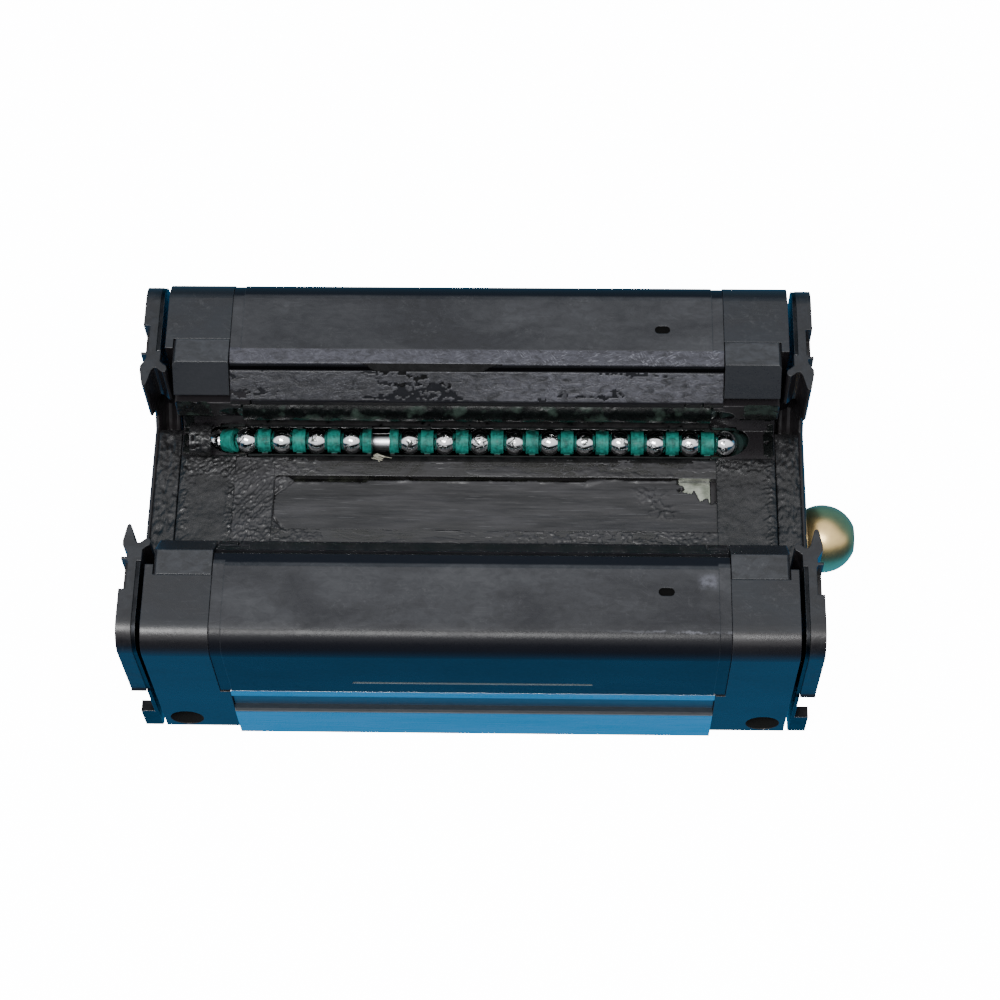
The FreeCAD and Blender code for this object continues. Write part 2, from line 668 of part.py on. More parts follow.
def lip_ring():
    """The forked lip carried round the channel outline as one closed shell."""
    outline = across(LIP_CHANNEL)
    rows = []
    for x, offset in LIP_SECTION:
        rows.append([Vector(x, y, z) for y, z in offset_outline(outline, offset)])
    faces = []
    count = len(LIP_SECTION)
    for i in range(count):
        a, b = rows[i], rows[(i + 1) % count]
        for k in range(len(outline) - 1):
            corners = [a[k], b[k], b[k + 1], a[k + 1]]
            faces.append(Part.Face(Part.makePolygon(corners + corners[:1])))
    for k in (0, len(outline) - 1):
        corners = [row[k] for row in rows]
        faces.append(Part.Face(Part.makePolygon(corners + corners[:1])))
    ring = Part.makeSolid(Part.makeShell(faces))
    if ring.Volume < 0:
        ring.reverse()
    return ring


def end_seal(end):
    """The rubber end seal, modelled for the right end."""
    sheet = seal_sheet(0.0, NECK_OFFSET, RUBBER_START, SEAL_END)
    top_pocket = box(SEAL_END - 0.8, SEAL_END + PAST, 13.3, 16.9, 22.2, HEIGHT + PAST)
    open_side = box(RUBBER_START - 0.35, SEAL_END + PAST, RUBBER_LEG_Y, 30, -1, RUBBER_LEG_Z)
    head_hole = rod(SCREW_HEAD_RADIUS + 0.2, (37, SCREW_Y, SCREW_Z), (1, 0, 0), 5)
    tools = both(top_pocket) + both(open_side) + both(head_hole) + [port_hole()]
    return place(fuse([cut(sheet, tools), lip_ring()]), 1.0, end)


def plate_foot_outline():
    bottom = SEAL_BOTTOM + PLATE_INSET
    outer = SEAL_FOOT_HALF_WIDTH - PLATE_INSET
    return [(PLATE_FOOT_Y, bottom), (outer - 0.5, bottom), (outer, bottom + 0.7), (outer, PLATE_FOOT_Z),
            (PLATE_FOOT_Y, PLATE_FOOT_Z)]


def seal_plate(end):
    """The thin metal plate that backs the rubber, modelled for the right end."""
    plate = seal_sheet(PLATE_INSET, PLATE_OFFSET, SEAL_START, RUBBER_START - FIT)
    foot = prism(plate_foot_outline(), SEAL_START, PLATE_FOOT_END)
    screw_hole = rod(SCREW_RADIUS + SCREW_CLEARANCE, (30, SCREW_Y, SCREW_Z), (1, 0, 0), 12)
    return place(cut(fuse([plate] + both(foot)), both(screw_hole) + [port_hole()]), 1.0, end)


def port_hole():
    """Room for the nipple or plug through seal and plate."""
    return rod(PORT_RADIUS + 0.3, (30, 0, PORT_Z), (1, 0, 0), 20)


# ---- fasteners and lubrication -----------------------------------------------------------------
def end_screws(end):
    """Button-head socket screws that hold cap, plate and seal to the steel."""
    screws = []
    for y in (-SCREW_Y, SCREW_Y):
        shank = rod(SCREW_RADIUS, (SCREW_TIP_X, y, SCREW_Z), (1, 0, 0), SCREW_HEAD_X + 0.13 - SCREW_TIP_X)
        head = rod(SCREW_HEAD_RADIUS, (SCREW_HEAD_X, y, SCREW_Z), (1, 0, 0), 1.55)
        rim = [edge for edge in head.Edges
               if edge.Length > 10 and edge.CenterOfMass.x > SCREW_HEAD_X + 1]
        head = head.makeFillet(0.8, rim)
        socket = hex_socket(SCREW_HEAD_X + 0.63, y, SCREW_Z, 2.0)
        screws.append(cut(shank.fuse(head), [socket]).removeSplitter())
    return Part.makeCompound([place(screw, 1.0, end) for screw in screws])


def hex_socket(x, y, z, depth):
    radius = SOCKET_HALF_FLATS / math.cos(math.radians(30))
    corners = []
    for k in range(7):
        angle = math.radians(60 * k)
        corners.append(Vector(x, y + radius * math.cos(angle), z + radius * math.sin(angle)))
    return Part.Face(Part.makePolygon(corners)).extrude(Vector(depth, 0, 0))


def plug_screw():
    """The set screw that closes the left lubrication port."""
    body = rod(PORT_RADIUS, (31.0, 0, PORT_Z), (1, 0, 0), 7.4)
    body = cut(body, [hex_socket(36.9, 0, PORT_Z, 3.0)])
    return place(body, 1.0, -1.0)


def nipple_body():
    """The brass grease nipple with its ball-shaped head, in the right port."""
    head = Part.makeSphere(NIPPLE_RADIUS, Vector(NIPPLE_CENTRE_X, 0, PORT_Z))
    head = head.common(box(SEAL_END + 0.15, NIPPLE_END, -10, 10, 0, 20))
    neck = rod(PORT_RADIUS, (30.4, 0, PORT_Z), (1, 0, 0), 9.5)
    seat = 43.8
    bore_start = SPRING_START - 0.15
    tools = [rod(NIPPLE_MOUTH_RADIUS, (43.5, 0, PORT_Z), (1, 0, 0), 5),
             rod(NIPPLE_BORE_RADIUS, (bore_start, 0, PORT_Z), (1, 0, 0), seat - bore_start),
             Part.makeCone(NIPPLE_BORE_RADIUS, NIPPLE_MOUTH_RADIUS, 0.5, Vector(seat, 0, PORT_Z), X_AXIS),
             rod(0.5, (30, 0, PORT_Z), (1, 0, 0), 10)]
    return cut(head.fuse(neck), tools).removeSplitter()


def nipple_check_ball():
    return Part.makeSphere(CHECK_BALL_RADIUS, Vector(CHECK_BALL_X, 0, PORT_Z))


def nipple_spring():
    """The coil spring that holds the check ball on its seat; its last coil rings the ball."""
    height = CHECK_BALL_X - CHECK_BALL_RADIUS - SPRING_START + 0.25
    helix = Part.makeHelix(SPRING_PITCH, height, SPRING_COIL_RADIUS)
    start = Vector(SPRING_COIL_RADIUS, 0, 0)
    profile = Part.Wire(Part.makeCircle(SPRING_WIRE_RADIUS, start, Vector(0, 1, 0)))
    spring = Part.Wire(helix.Edges).makePipeShell([profile], True, True)
    spring.Placement = Placement(Vector(SPRING_START, 0, PORT_Z), FreeCAD.Rotation(Vector(0, 1, 0), 90))
    return spring


# ---- write every piece -------------------------------------------------------------------------
save(steel_block(), "steel_block")
save(floor_retainer(), "floor_retainer")
for side_name, side_sign in SIDES.items():
    save(place(casing(), side_sign), "casing_" + side_name)
    save(place(bottom_seal(), side_sign), "bottom_seal_" + side_name)
    save(place(return_tube(), side_sign), "return_tube_" + side_name)
for end_name, end_sign in ENDS.items():
    save(end_cap(end_sign), "end_cap_" + end_name)
    for side_name, side_sign in SIDES.items():
        save(place(leg_insert(), side_sign, end_sign), "leg_insert_%s_%s" % (end_name, side_name))
    save(return_guides(FAR_FLOOR, end_sign), "floor_row_guides_" + end_name)
    save(return_guides(FAR_WAIST, end_sign), "waist_row_guides_" + end_name)
    save(end_seal(end_sign), "end_seal_" + end_name)
    save(seal_plate(end_sign), "seal_plate_" + end_name)
    save(end_screws(end_sign), "end_screws_" + end_name)
save(plug_screw(), "plug_screw")
save(nipple_body(), "nipple_body")
save(nipple_check_ball(), "nipple_check_ball")
save(nipple_spring(), "nipple_spring")
for circuit_name, circuit in CIRCUITS.items():
    for segment_name in ("loaded", "turn_right", "return", "turn_left"):
        save(circuit.balls(segment_name), "%s_%s_balls" % (circuit_name, segment_name))
        save(circuit.chain(segment_name), "%s_%s_chain" % (circuit_name, segment_name))
    print(circuit_name, "turn radius %.4f centre y %.4f z %.4f axis %.5f %.5f" % (
        circuit.radius, circuit.centre.y, circuit.centre.z, circuit.normal.y, circuit.normal.z))
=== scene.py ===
"""Looks of a greased linear guide carriage: materials, grease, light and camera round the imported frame."""

import json
import math

import bmesh
import bpy
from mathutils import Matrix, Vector, noise


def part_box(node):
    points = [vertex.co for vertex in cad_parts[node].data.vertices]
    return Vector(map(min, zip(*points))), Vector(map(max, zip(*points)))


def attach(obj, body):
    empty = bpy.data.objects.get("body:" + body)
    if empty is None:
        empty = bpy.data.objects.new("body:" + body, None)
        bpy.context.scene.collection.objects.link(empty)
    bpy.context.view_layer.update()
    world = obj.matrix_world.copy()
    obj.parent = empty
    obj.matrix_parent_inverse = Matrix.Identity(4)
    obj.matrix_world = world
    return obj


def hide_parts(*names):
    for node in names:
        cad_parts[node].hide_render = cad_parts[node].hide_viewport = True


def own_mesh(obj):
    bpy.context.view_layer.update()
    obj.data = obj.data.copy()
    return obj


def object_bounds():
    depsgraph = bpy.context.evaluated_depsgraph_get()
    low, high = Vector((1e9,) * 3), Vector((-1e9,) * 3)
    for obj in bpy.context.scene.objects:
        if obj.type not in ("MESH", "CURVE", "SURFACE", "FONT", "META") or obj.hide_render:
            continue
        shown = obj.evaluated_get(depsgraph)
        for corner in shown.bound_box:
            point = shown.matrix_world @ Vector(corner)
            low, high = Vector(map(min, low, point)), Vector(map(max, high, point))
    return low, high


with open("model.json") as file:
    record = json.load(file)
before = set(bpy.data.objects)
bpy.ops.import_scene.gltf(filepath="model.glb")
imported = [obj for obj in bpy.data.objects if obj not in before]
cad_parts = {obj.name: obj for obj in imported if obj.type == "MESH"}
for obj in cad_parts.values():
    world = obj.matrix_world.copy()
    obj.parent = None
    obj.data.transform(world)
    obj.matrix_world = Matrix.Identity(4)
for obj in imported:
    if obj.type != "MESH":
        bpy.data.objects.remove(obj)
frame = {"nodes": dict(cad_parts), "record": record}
cad_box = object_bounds()

MM = 0.001
NODES = frame["nodes"]


# ---- places in millimetres, read from the frame where it holds them -----------------------------
def corner(node, k):
    """Lowest (k=0) or highest (k=1) corner of a node."""
    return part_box(node)[k] / MM


TOP = cad_box[1].z / MM
PLATE_TOP = corner("floor_retainer", 1).z
PLATE_END = corner("floor_retainer", 1).x
PLATE_HALF = 5.9                            # y where the floor meets the ball rows
STRIP_EDGE_Y = corner("bottom_seal_far", 0).y
STRIP_TOP = corner("bottom_seal_far", 1).z
CASING_END = corner("casing_far", 1).x
CASING_STEP_X = 27.4                        # from here outwards a casing is a hair lower
CASING_STEP = 0.08
INSERT_END = corner("leg_insert_right_far", 1).x
LIP_TIP_X = corner("end_seal_right", 1).x - 0.85
LIP_HALF = 9.6                              # y to which grease is packed behind a seal's lip
WINDOW_HALF = 3.53
WINDOW_LEFT = -24.0
WINDOW_FLOOR = PLATE_TOP - 1.0
FLOOR_ROW = (8.0, 13.4)                     # y and z of the ball rows' axes
WAIST_ROW = (10.3, 18.2)
ROW_HALF = 27.5                             # x to which a loaded row lies open
CHAIN_GAP = (-12.5, -10.2)                  # x where the far floor row's chain is open

# Zones that a material treats on their own: limits in X, Y and Z, and None where an axis is free.
PILOT_HOLE = ((31.4, 35.8), (19.0, 23.6), (1.5, 6.0))
PIT = ((20.6, 22.6), (16.1, 17.4), (24.0, TOP - 0.10))
INNER_CHAMFER = (None, (11.9, 14.05), None)
SIDE_LINE = ((-13.4, 13.6), (-23.72, -23.33), (14.6, 14.75))
RUBBED_SPOT = ((25.3, 27.2), (-16.2, -14.7), None)
SEAL_SLIT = (None, (-12.2, 12.2), (20.0, 24.6))
# Where the painted highlight runs along the near top edge.
EDGE_HIGHLIGHT_X = (14.0, 24.0)
EDGE_HIGHLIGHT_Y = -21.04
SIDE_RECESS_Y = 20.0
SIDE_RECESS_Z = (6.58, 10.45)
LEDGE_TOP = (6.82, 6.95)
BARE_GAP_Y = (7.5, 9.1)
STAIN_X, STAIN_Y = (22.0, 29.0), (-1.0, 3.6)
CHANNEL_HALF, CHANNEL_FLOOR = 12.0, 11.0


# ---- material building -------------------------------------------------------------------------
class Material:
    """A node material whose texture space is the row frame, in millimetres."""

    def __init__(self, name, roughness=0.5, metallic=0.0, specular=0.5, coat=0.0, coat_roughness=0.1):
        self.material = bpy.data.materials.new(name)
        self.material.use_nodes = True
        self.nodes = self.material.node_tree.nodes
        self.links = self.material.node_tree.links
        self.shader = self.nodes["Principled BSDF"]
        self.shader.inputs["Roughness"].default_value = roughness
        self.shader.inputs["Metallic"].default_value = metallic
        self.shader.inputs["Specular IOR Level"].default_value = specular
        self.shader.inputs["Coat Weight"].default_value = coat
        self.shader.inputs["Coat Roughness"].default_value = coat_roughness
        place = self.nodes.new("ShaderNodeTexCoord")
        scale = self.nodes.new("ShaderNodeMapping")
        scale.inputs["Scale"].default_value = (1 / MM, 1 / MM, 1 / MM)
        self.links.new(place.outputs["Object"], scale.inputs["Vector"])
        self.space = scale.outputs["Vector"]
        self.normal = None

    def put(self, socket, value):
        """Link a node's output to a socket, or set the socket to a number or a colour."""
        if isinstance(value, bpy.types.NodeSocket):
            self.links.new(value, socket)
        elif isinstance(value, tuple) and len(value) == 3 and socket.type == "RGBA":
            socket.default_value = (*value, 1.0)
        else:
            socket.default_value = value

    def math(self, operation, a, b=0.0, c=0.0, clamp=False):
        """One sum on numbers or node outputs."""
        node = self.nodes.new("ShaderNodeMath")
        node.operation = operation
        node.use_clamp = clamp
        for socket, value in zip(node.inputs, (a, b, c)):
            self.put(socket, value)
        return node.outputs[0]

    def stretched(self, stretch, turn=0.0):
        """The texture space turned by some degrees about Z and squeezed, so that a pattern comes out
        longer where stretch is small."""
        vector = self.space
        for name, value in (("Rotation", (0, 0, math.radians(turn))), ("Scale", stretch)):
            node = self.nodes.new("ShaderNodeMapping")
            node.inputs[name].default_value = value
            self.links.new(vector, node.inputs["Vector"])
            vector = node.outputs["Vector"]
        return vector

    def noise(self, size, detail=3.0, roughness=0.55, stretch=None, distortion=0.0, turn=0.0):
        """Noise whose features are about `size` millimetres across."""
        node = self.nodes.new("ShaderNodeTexNoise")
        node.inputs["Scale"].default_value = 1.0 / size
        node.inputs["Detail"].default_value = detail
        node.inputs["Roughness"].default_value = roughness
        node.inputs["Distortion"].default_value = distortion
        self.links.new(self.stretched(stretch, turn) if stretch else self.space, node.inputs["Vector"])
        return node.outputs["Fac"]

    def between(self, value, low, high, to_low=0.0, to_high=1.0):
        """A clamped linear map."""
        node = self.nodes.new("ShaderNodeMapRange")
        node.clamp = True
        for name, given in (("Value", value), ("From Min", low), ("From Max", high),
                            ("To Min", to_low), ("To Max", to_high)):
            self.put(node.inputs[name], given)
        return node.outputs["Result"]

    def blend(self, fac, a, b):
        """Colour a where fac is 0, and b where it is 1."""
        node = self.nodes.new("ShaderNodeMix")
        node.data_type = "RGBA"
        self.put(node.inputs["Factor"], fac)
        self.put(node.inputs["A"], a)
        self.put(node.inputs["B"], b)
        return node.outputs["Result"]

    def axis(self, name):
        """The X, Y or Z coordinate."""
        node = self.nodes.new("ShaderNodeSeparateXYZ")
        self.links.new(self.space, node.inputs["Vector"])
        return node.outputs[name]

    def inside(self, name, low, high, soft=0.3, mirrored=False):
        """1 where a coordinate, or its size if mirrored, lies between low and high millimetres."""
        value = self.axis(name)
        if mirrored:
            value = self.math("ABSOLUTE", value)
        rising = self.between(value, low - soft, low + soft)
        falling = self.between(value, high + soft, high - soft)
        return self.math("MULTIPLY", rising, falling)

    def zone(self, x, y, z, soft=0.3, mirrored=False):
        """1 inside a box given by pairs of limits in millimetres, and in its mirror images if
        mirrored; None leaves an axis free."""
        fac = None
        for name, limits in (("X", x), ("Y", y), ("Z", z)):
            if limits:
                part = self.inside(name, *limits, soft, mirrored)
                fac = self.math("MULTIPLY", fac, part) if fac else part
        return fac

    def scratches(self, size, length, low, turn=0.0):
        """Thin marks, `length` times as long as wide, with gaps between groups of them."""
        lines = self.between(self.noise(size, 2.0, 0.5, (1 / length, 1, 1), 0.0, turn), low, low + 0.06)
        groups = self.between(self.noise(size * 14, 2.0), 0.46, 0.60)
        return self.math("MULTIPLY", lines, groups)

    def round_edges(self, radius):
        """Shade every edge as if it had this radius, in millimetres, and find where the edges are; the
        materials paint a highlight along them with what this returns.
        """
        node = self.nodes.new("ShaderNodeBevel")
        node.samples = 6
        node.inputs["Radius"].default_value = radius * MM
        plain = self.nodes.new("ShaderNodeNewGeometry")
        dot = self.nodes.new("ShaderNodeVectorMath")
        dot.operation = "DOT_PRODUCT"
        self.links.new(node.outputs["Normal"], dot.inputs[0])
        self.links.new(plain.outputs["Normal"], dot.inputs[1])
        self.normal = node.outputs["Normal"]
        return self.between(dot.outputs["Value"], 0.995, 0.90)

    def bump(self, height, depth):
        """Relief of `depth` millimetres."""
        node = self.nodes.new("ShaderNodeBump")
        node.inputs["Distance"].default_value = depth * MM
        self.links.new(height, node.inputs["Height"])
        if self.normal:
            self.links.new(self.normal, node.inputs["Normal"])
        self.normal = node.outputs["Normal"]

    def done(self, color, roughness=None):
        """The finished material, with its colour, roughness and relief linked."""
        self.links.new(color, self.shader.inputs["Base Color"])
        if roughness:
            self.links.new(roughness, self.shader.inputs["Roughness"])
        if self.normal:
            self.links.new(self.normal, self.shader.inputs["Normal"])
        return self.material


# ---- the materials -----------------------------------------------------------------------------
def resin(name, base, top_tone, smear, specular=0.5, mottle=0.3, wear_and_light=None):
    """Moulded black resin. Its upper faces take a lighter top tone and are smeared and scratched; its sides
    keep the plain base colour. The insides of holes and pits are painted near black as shade, and the edges
    get a painted highlight.
    wear_and_light(material, color) adds the marks, painted highlights and painted shade of one piece."""
    m = Material(name, roughness=0.4, specular=specular)
    edges = m.round_edges(0.14)
    # Where the lighter top tone lies: the casings' stepped ends, a hair lower, count as top, and on the far
    # side (y > 0) it starts 0.08 mm higher.
    stepped_end = m.inside("X", CASING_STEP_X - 0.02, CASING_END + 0.01, 0.01, mirrored=True)
    level = m.math("MULTIPLY_ADD", stepped_end, CASING_STEP, m.axis("Z"))
    level = m.math("MULTIPLY_ADD", m.between(m.axis("Y"), 0.0, 1.0), -0.08, level)
    upper = m.between(level, TOP - 0.16, TOP - 0.10)
    cloud = m.between(m.noise(6.0, 4.0, 0.6, (0.45, 1, 1), 0.6), 0.36, 0.70)
    fine = m.noise(0.35, 5.0, 0.7)
    blotch = m.between(m.noise(0.9, 5.0, 0.7, (0.6, 1, 1), 0.8), 0.40, 0.66)
    color = m.blend(m.between(cloud, 0.0, 1.0, 1.0 - smear, 1.0), base, top_tone)
    color = m.blend(m.math("MULTIPLY", blotch, mottle), color, (0.008, 0.008, 0.009))
    rubs = m.math("MULTIPLY", m.between(m.noise(0.55, 5.0, 0.75), 0.53, 0.66),
                  m.between(m.noise(5.0, 2.0), 0.52, 0.60))
    marks = m.math("ADD", m.scratches(0.16, 16, 0.60), m.scratches(0.14, 9, 0.63, 38), clamp=True)
    color = m.blend(m.math("MULTIPLY", rubs, 0.22), color, (0.12, 0.12, 0.125))
    color = m.blend(m.math("MULTIPLY", marks, 0.07), color, (0.17, 0.17, 0.18))
    color = m.blend(upper, base, color)
    # Painted highlight along the edges.
    color = m.blend(m.math("MULTIPLY", edges, 0.22), color, (0.10, 0.10, 0.11))
    # Painted shade: the insides of the pilot holes and of the pit are painted near black.
    painted_hole_shade = m.math("MAXIMUM", m.zone(*PILOT_HOLE, 0.04, mirrored=True), m.zone(*PIT, 0.02, mirrored=True))
    color = m.blend(painted_hole_shade, color, (0.001, 0.001, 0.001))
    if wear_and_light:
        color = wear_and_light(m, color)
    rough = m.between(cloud, 0.0, 1.0, 0.26, 0.36)
    rough = m.math("ADD", rough, m.math("MULTIPLY", m.math("SUBTRACT", fine, 0.5), 0.22), clamp=True)
    rough = m.math("MAXIMUM", rough, painted_hole_shade)
    m.bump(fine, 0.012)
    return m.done(color, rough)


def casing_wear_and_light(m, color):
    """What only the two casings show: the grease-smeared chamfer of the far one with a painted sheen, a
    ragged painted highlight along the near top edge, a painted highlight along the near side's slot line, a
    rubbed spot on the near one, and painted shade in the slit beside each bottom seal."""
    below_top = m.between(m.axis("Z"), TOP - 0.01, TOP - 0.03)
    # Painted sheen: the grease smear on the far chamfer is painted a lighter lilac, its scratches brighter
    # to the right.
    chamfer = m.math("MULTIPLY", m.zone(*INNER_CHAMFER, 0.05), below_top)
    smear = m.between(m.noise(0.5, 5.0, 0.75, (0.4, 1, 1), 1.0), 0.36, 0.66)
    lilac = m.blend(smear, (0.026, 0.026, 0.031), (0.082, 0.082, 0.100))
    streaks = m.math("ADD", m.scratches(0.13, 7, 0.58, 52), m.scratches(0.12, 12, 0.58, -20), clamp=True)
    right = m.between(m.axis("X"), -6.0, 8.0, 0.12, 0.42)
    lilac = m.blend(m.math("MULTIPLY", streaks, right), lilac, (0.30, 0.30, 0.34))
    color = m.blend(chamfer, color, lilac)
    # Painted highlight: a ragged pale line, broken up like chips, along the near top edge.
    ragged = m.math("ADD", m.axis("Y"), m.math("MULTIPLY", m.noise(0.9, 4.0, 0.7), 0.9))
    ragged_highlight = m.math("MULTIPLY", m.between(ragged, EDGE_HIGHLIGHT_Y - 0.18, EDGE_HIGHLIGHT_Y - 0.06),
                   m.between(ragged, EDGE_HIGHLIGHT_Y + 0.18, EDGE_HIGHLIGHT_Y + 0.06))
    broken = m.between(m.noise(1.1, 3.0, 0.6), 0.42, 0.56, 0.0, 0.7)
    ragged_highlight = m.math("MULTIPLY", m.math("MULTIPLY", ragged_highlight, broken), m.between(m.axis("X"), *EDGE_HIGHLIGHT_X))
    color = m.blend(ragged_highlight, color, (0.15, 0.15, 0.17))
    # Painted highlight along the near side's slot line.
    color = m.blend(m.zone(*SIDE_LINE, 0.02), color, (0.095, 0.120, 0.130))
    rubbed = m.math("MULTIPLY", m.zone(*RUBBED_SPOT, 0.4), m.between(m.noise(0.7, 4.0, 0.7), 0.35, 0.6))
    color = m.blend(m.math("MULTIPLY", rubbed, 0.6), color, (0.17, 0.17, 0.20))
    # Painted shade: the slit beside each bottom seal is painted near black.
    return m.blend(m.zone(*SEAL_SLIT, 0.05), color, (0.004, 0.004, 0.005))


def oily_resin():
    """Resin beside the balls, under a wet film of dark grease with streaks along the rail."""
    m = Material("oily_resin", roughness=0.3, coat=0.3, coat_roughness=0.08)
    edges = m.round_edges(0.14)
    film = m.between(m.noise(2.2, 5.0, 0.65, (0.35, 1, 1), 1.2), 0.42, 0.60)
    streak = m.noise(0.5, 4.0, 0.6, (0.10, 1, 1), 0.8)
    grit = m.noise(0.16, 3.0, 0.7)
    color = m.blend(film, (0.022, 0.0215, 0.023), (0.011, 0.0108, 0.0095))
    color = m.blend(m.between(streak, 0.58, 0.72, 0.0, 0.4), color, (0.05, 0.05, 0.052))
    # Painted highlight along the edges.
    color = m.blend(m.math("MULTIPLY", edges, 0.25), color, (0.10, 0.10, 0.11))
    rough = m.between(film, 0.0, 1.0, 0.46, 0.20)
    rough = m.math("ADD", rough, m.math("MULTIPLY", m.math("SUBTRACT", grit, 0.5), 0.25), clamp=True)
    m.bump(streak, 0.05)
    m.bump(m.math("MULTIPLY", grit, film), 0.03)
    return m.done(color, rough)


def ground_steel():
    """Steel with a ground lengthwise lay and a dull recess along each side. Inside the channel it is
    dark with old grease, apart from the bare gap in a chain and a stained patch."""
    m = Material("ground_steel", roughness=0.3, metallic=1.0)
    edges = m.round_edges(0.10)
    lay = m.noise(0.12, 4.0, 0.7, (0.012, 1, 1))
    broad = m.noise(5.0, 3.0, 0.5, (0.3, 1, 1))
    recess = m.inside("Z", *SIDE_RECESS_Z, 0.06)
    color = m.blend(m.between(lay, 0.3, 0.7), (0.50, 0.51, 0.53), (0.68, 0.69, 0.71))
    color = m.blend(m.between(broad, 0.4, 0.7, 0.0, 0.25), color, (0.40, 0.41, 0.43))
    outer = m.math("GREATER_THAN", m.math("ABSOLUTE", m.axis("Y")), SIDE_RECESS_Y)
    recess = m.math("MULTIPLY", recess, outer)
    mottled = m.noise(0.5, 4.0, 0.7, (0.3, 1, 1))
    above_ledge = m.between(m.axis("Z"), *LEDGE_TOP)
    ledge = m.blend(mottled, (0.050, 0.051, 0.053), (0.100, 0.100, 0.102))
    scale = m.blend(above_ledge, ledge, m.blend(mottled, (0.13, 0.135, 0.14), (0.22, 0.22, 0.22)))
    color = m.blend(recess, color, scale)
    channel = m.math("MULTIPLY", m.math("LESS_THAN", m.math("ABSOLUTE", m.axis("Y")), CHANNEL_HALF),
                     m.math("GREATER_THAN", m.axis("Z"), CHANNEL_FLOOR))
    bare = m.math("MULTIPLY", m.inside("X", *CHAIN_GAP, 0.25), m.inside("Y", *BARE_GAP_Y, 0.2))
    patch = m.math("MULTIPLY", m.inside("X", *STAIN_X, 0.3), m.inside("Y", *STAIN_Y, 0.3))
    greasy = m.math("SUBTRACT", channel, m.math("ADD", bare, patch), clamp=True)
    tarnish = m.between(m.noise(1.6, 4.0, 0.6), 0.45, 0.65)
    color = m.blend(greasy, color, m.blend(tarnish, (0.006, 0.006, 0.006), (0.022, 0.024, 0.019)))
    stained = m.blend(m.between(m.noise(1.3, 4.0, 0.6), 0.38, 0.64), (0.50, 0.53, 0.44), (0.22, 0.24, 0.19))
    color = m.blend(m.math("MULTIPLY", patch, channel), color, stained)
    # Painted highlight along the edges.
    color = m.blend(m.math("MULTIPLY", edges, 0.35), color, (0.85, 0.86, 0.88))
    rough = m.between(lay, 0.2, 0.8, 0.22, 0.36)
    rough = m.between(recess, 0.0, 1.0, rough, 0.34)
    dull = m.math("MULTIPLY", recess, m.between(above_ledge, 0.0, 1.0, 0.9, 0.1))
    m.links.new(m.math("SUBTRACT", 1.0, dull), m.shader.inputs["Metallic"])
    m.bump(lay, 0.004)
    return m.done(color, rough)


def seal_rubber():
    """Dull black rubber, a little worn, lighter on its top faces, with a painted highlight along its edges.
    """
    m = Material("seal_rubber", roughness=0.5)
    edges = m.round_edges(0.16)
    cloud = m.between(m.noise(1.8, 5.0, 0.65, distortion=0.8), 0.42, 0.68)
    fine = m.noise(0.16, 4.0, 0.7)
    rub = m.between(m.noise(0.5, 4.0, 0.6, (1, 0.3, 0.3)), 0.60, 0.70)
    upper = m.between(m.axis("Z"), TOP - 0.16, TOP - 0.08)
    color = m.blend(cloud, (0.011, 0.0095, 0.0105), (0.018, 0.016, 0.0175))
    color = m.blend(upper, color, m.blend(cloud, (0.014, 0.014, 0.016), (0.024, 0.025, 0.029)))
    color = m.blend(m.math("MULTIPLY", rub, 0.15), color, (0.07, 0.07, 0.075))
    # Painted highlight along the edges.
    color = m.blend(m.math("MULTIPLY", edges, 0.15), color, (0.09, 0.09, 0.095))
    rough = m.between(cloud, 0.0, 1.0, 0.30, 0.40)
    m.bump(fine, 0.008)
    m.bump(cloud, 0.01)
    return m.done(color, rough)


def ball_steel():
    """Mirror-bright bearing steel with thin islands of grease."""
    m = Material("ball_steel", roughness=0.06, metallic=1.0)
    island = m.between(m.noise(0.9, 4.0, 0.6, distortion=0.9), 0.57, 0.62)
    haze = m.noise(0.3, 3.0, 0.6)
    color = m.blend(island, (0.93, 0.93, 0.94), (0.10, 0.105, 0.10))
    rough = m.between(haze, 0.35, 0.75, 0.05, 0.16)
    m.bump(island, 0.02)
    return m.done(color, rough)


def greased_ball():
    """A ball still under its coat of used grease, with thin places where the steel glints through."""
    m = Material("greased_ball", roughness=0.2, coat=0.5, coat_roughness=0.05)
    film = m.noise(0.9, 5.0, 0.65, distortion=1.2)
    color = m.blend(m.between(film, 0.4, 0.6), (0.007, 0.010, 0.009), (0.022, 0.031, 0.026))
    thin = m.between(film, 0.62, 0.67)
    m.links.new(thin, m.shader.inputs["Metallic"])
    color = m.blend(thin, color, (0.45, 0.50, 0.47))
    m.bump(film, 0.12)
    return m.done(color, m.between(m.noise(0.2), 0.3, 0.7, 0.10, 0.32))


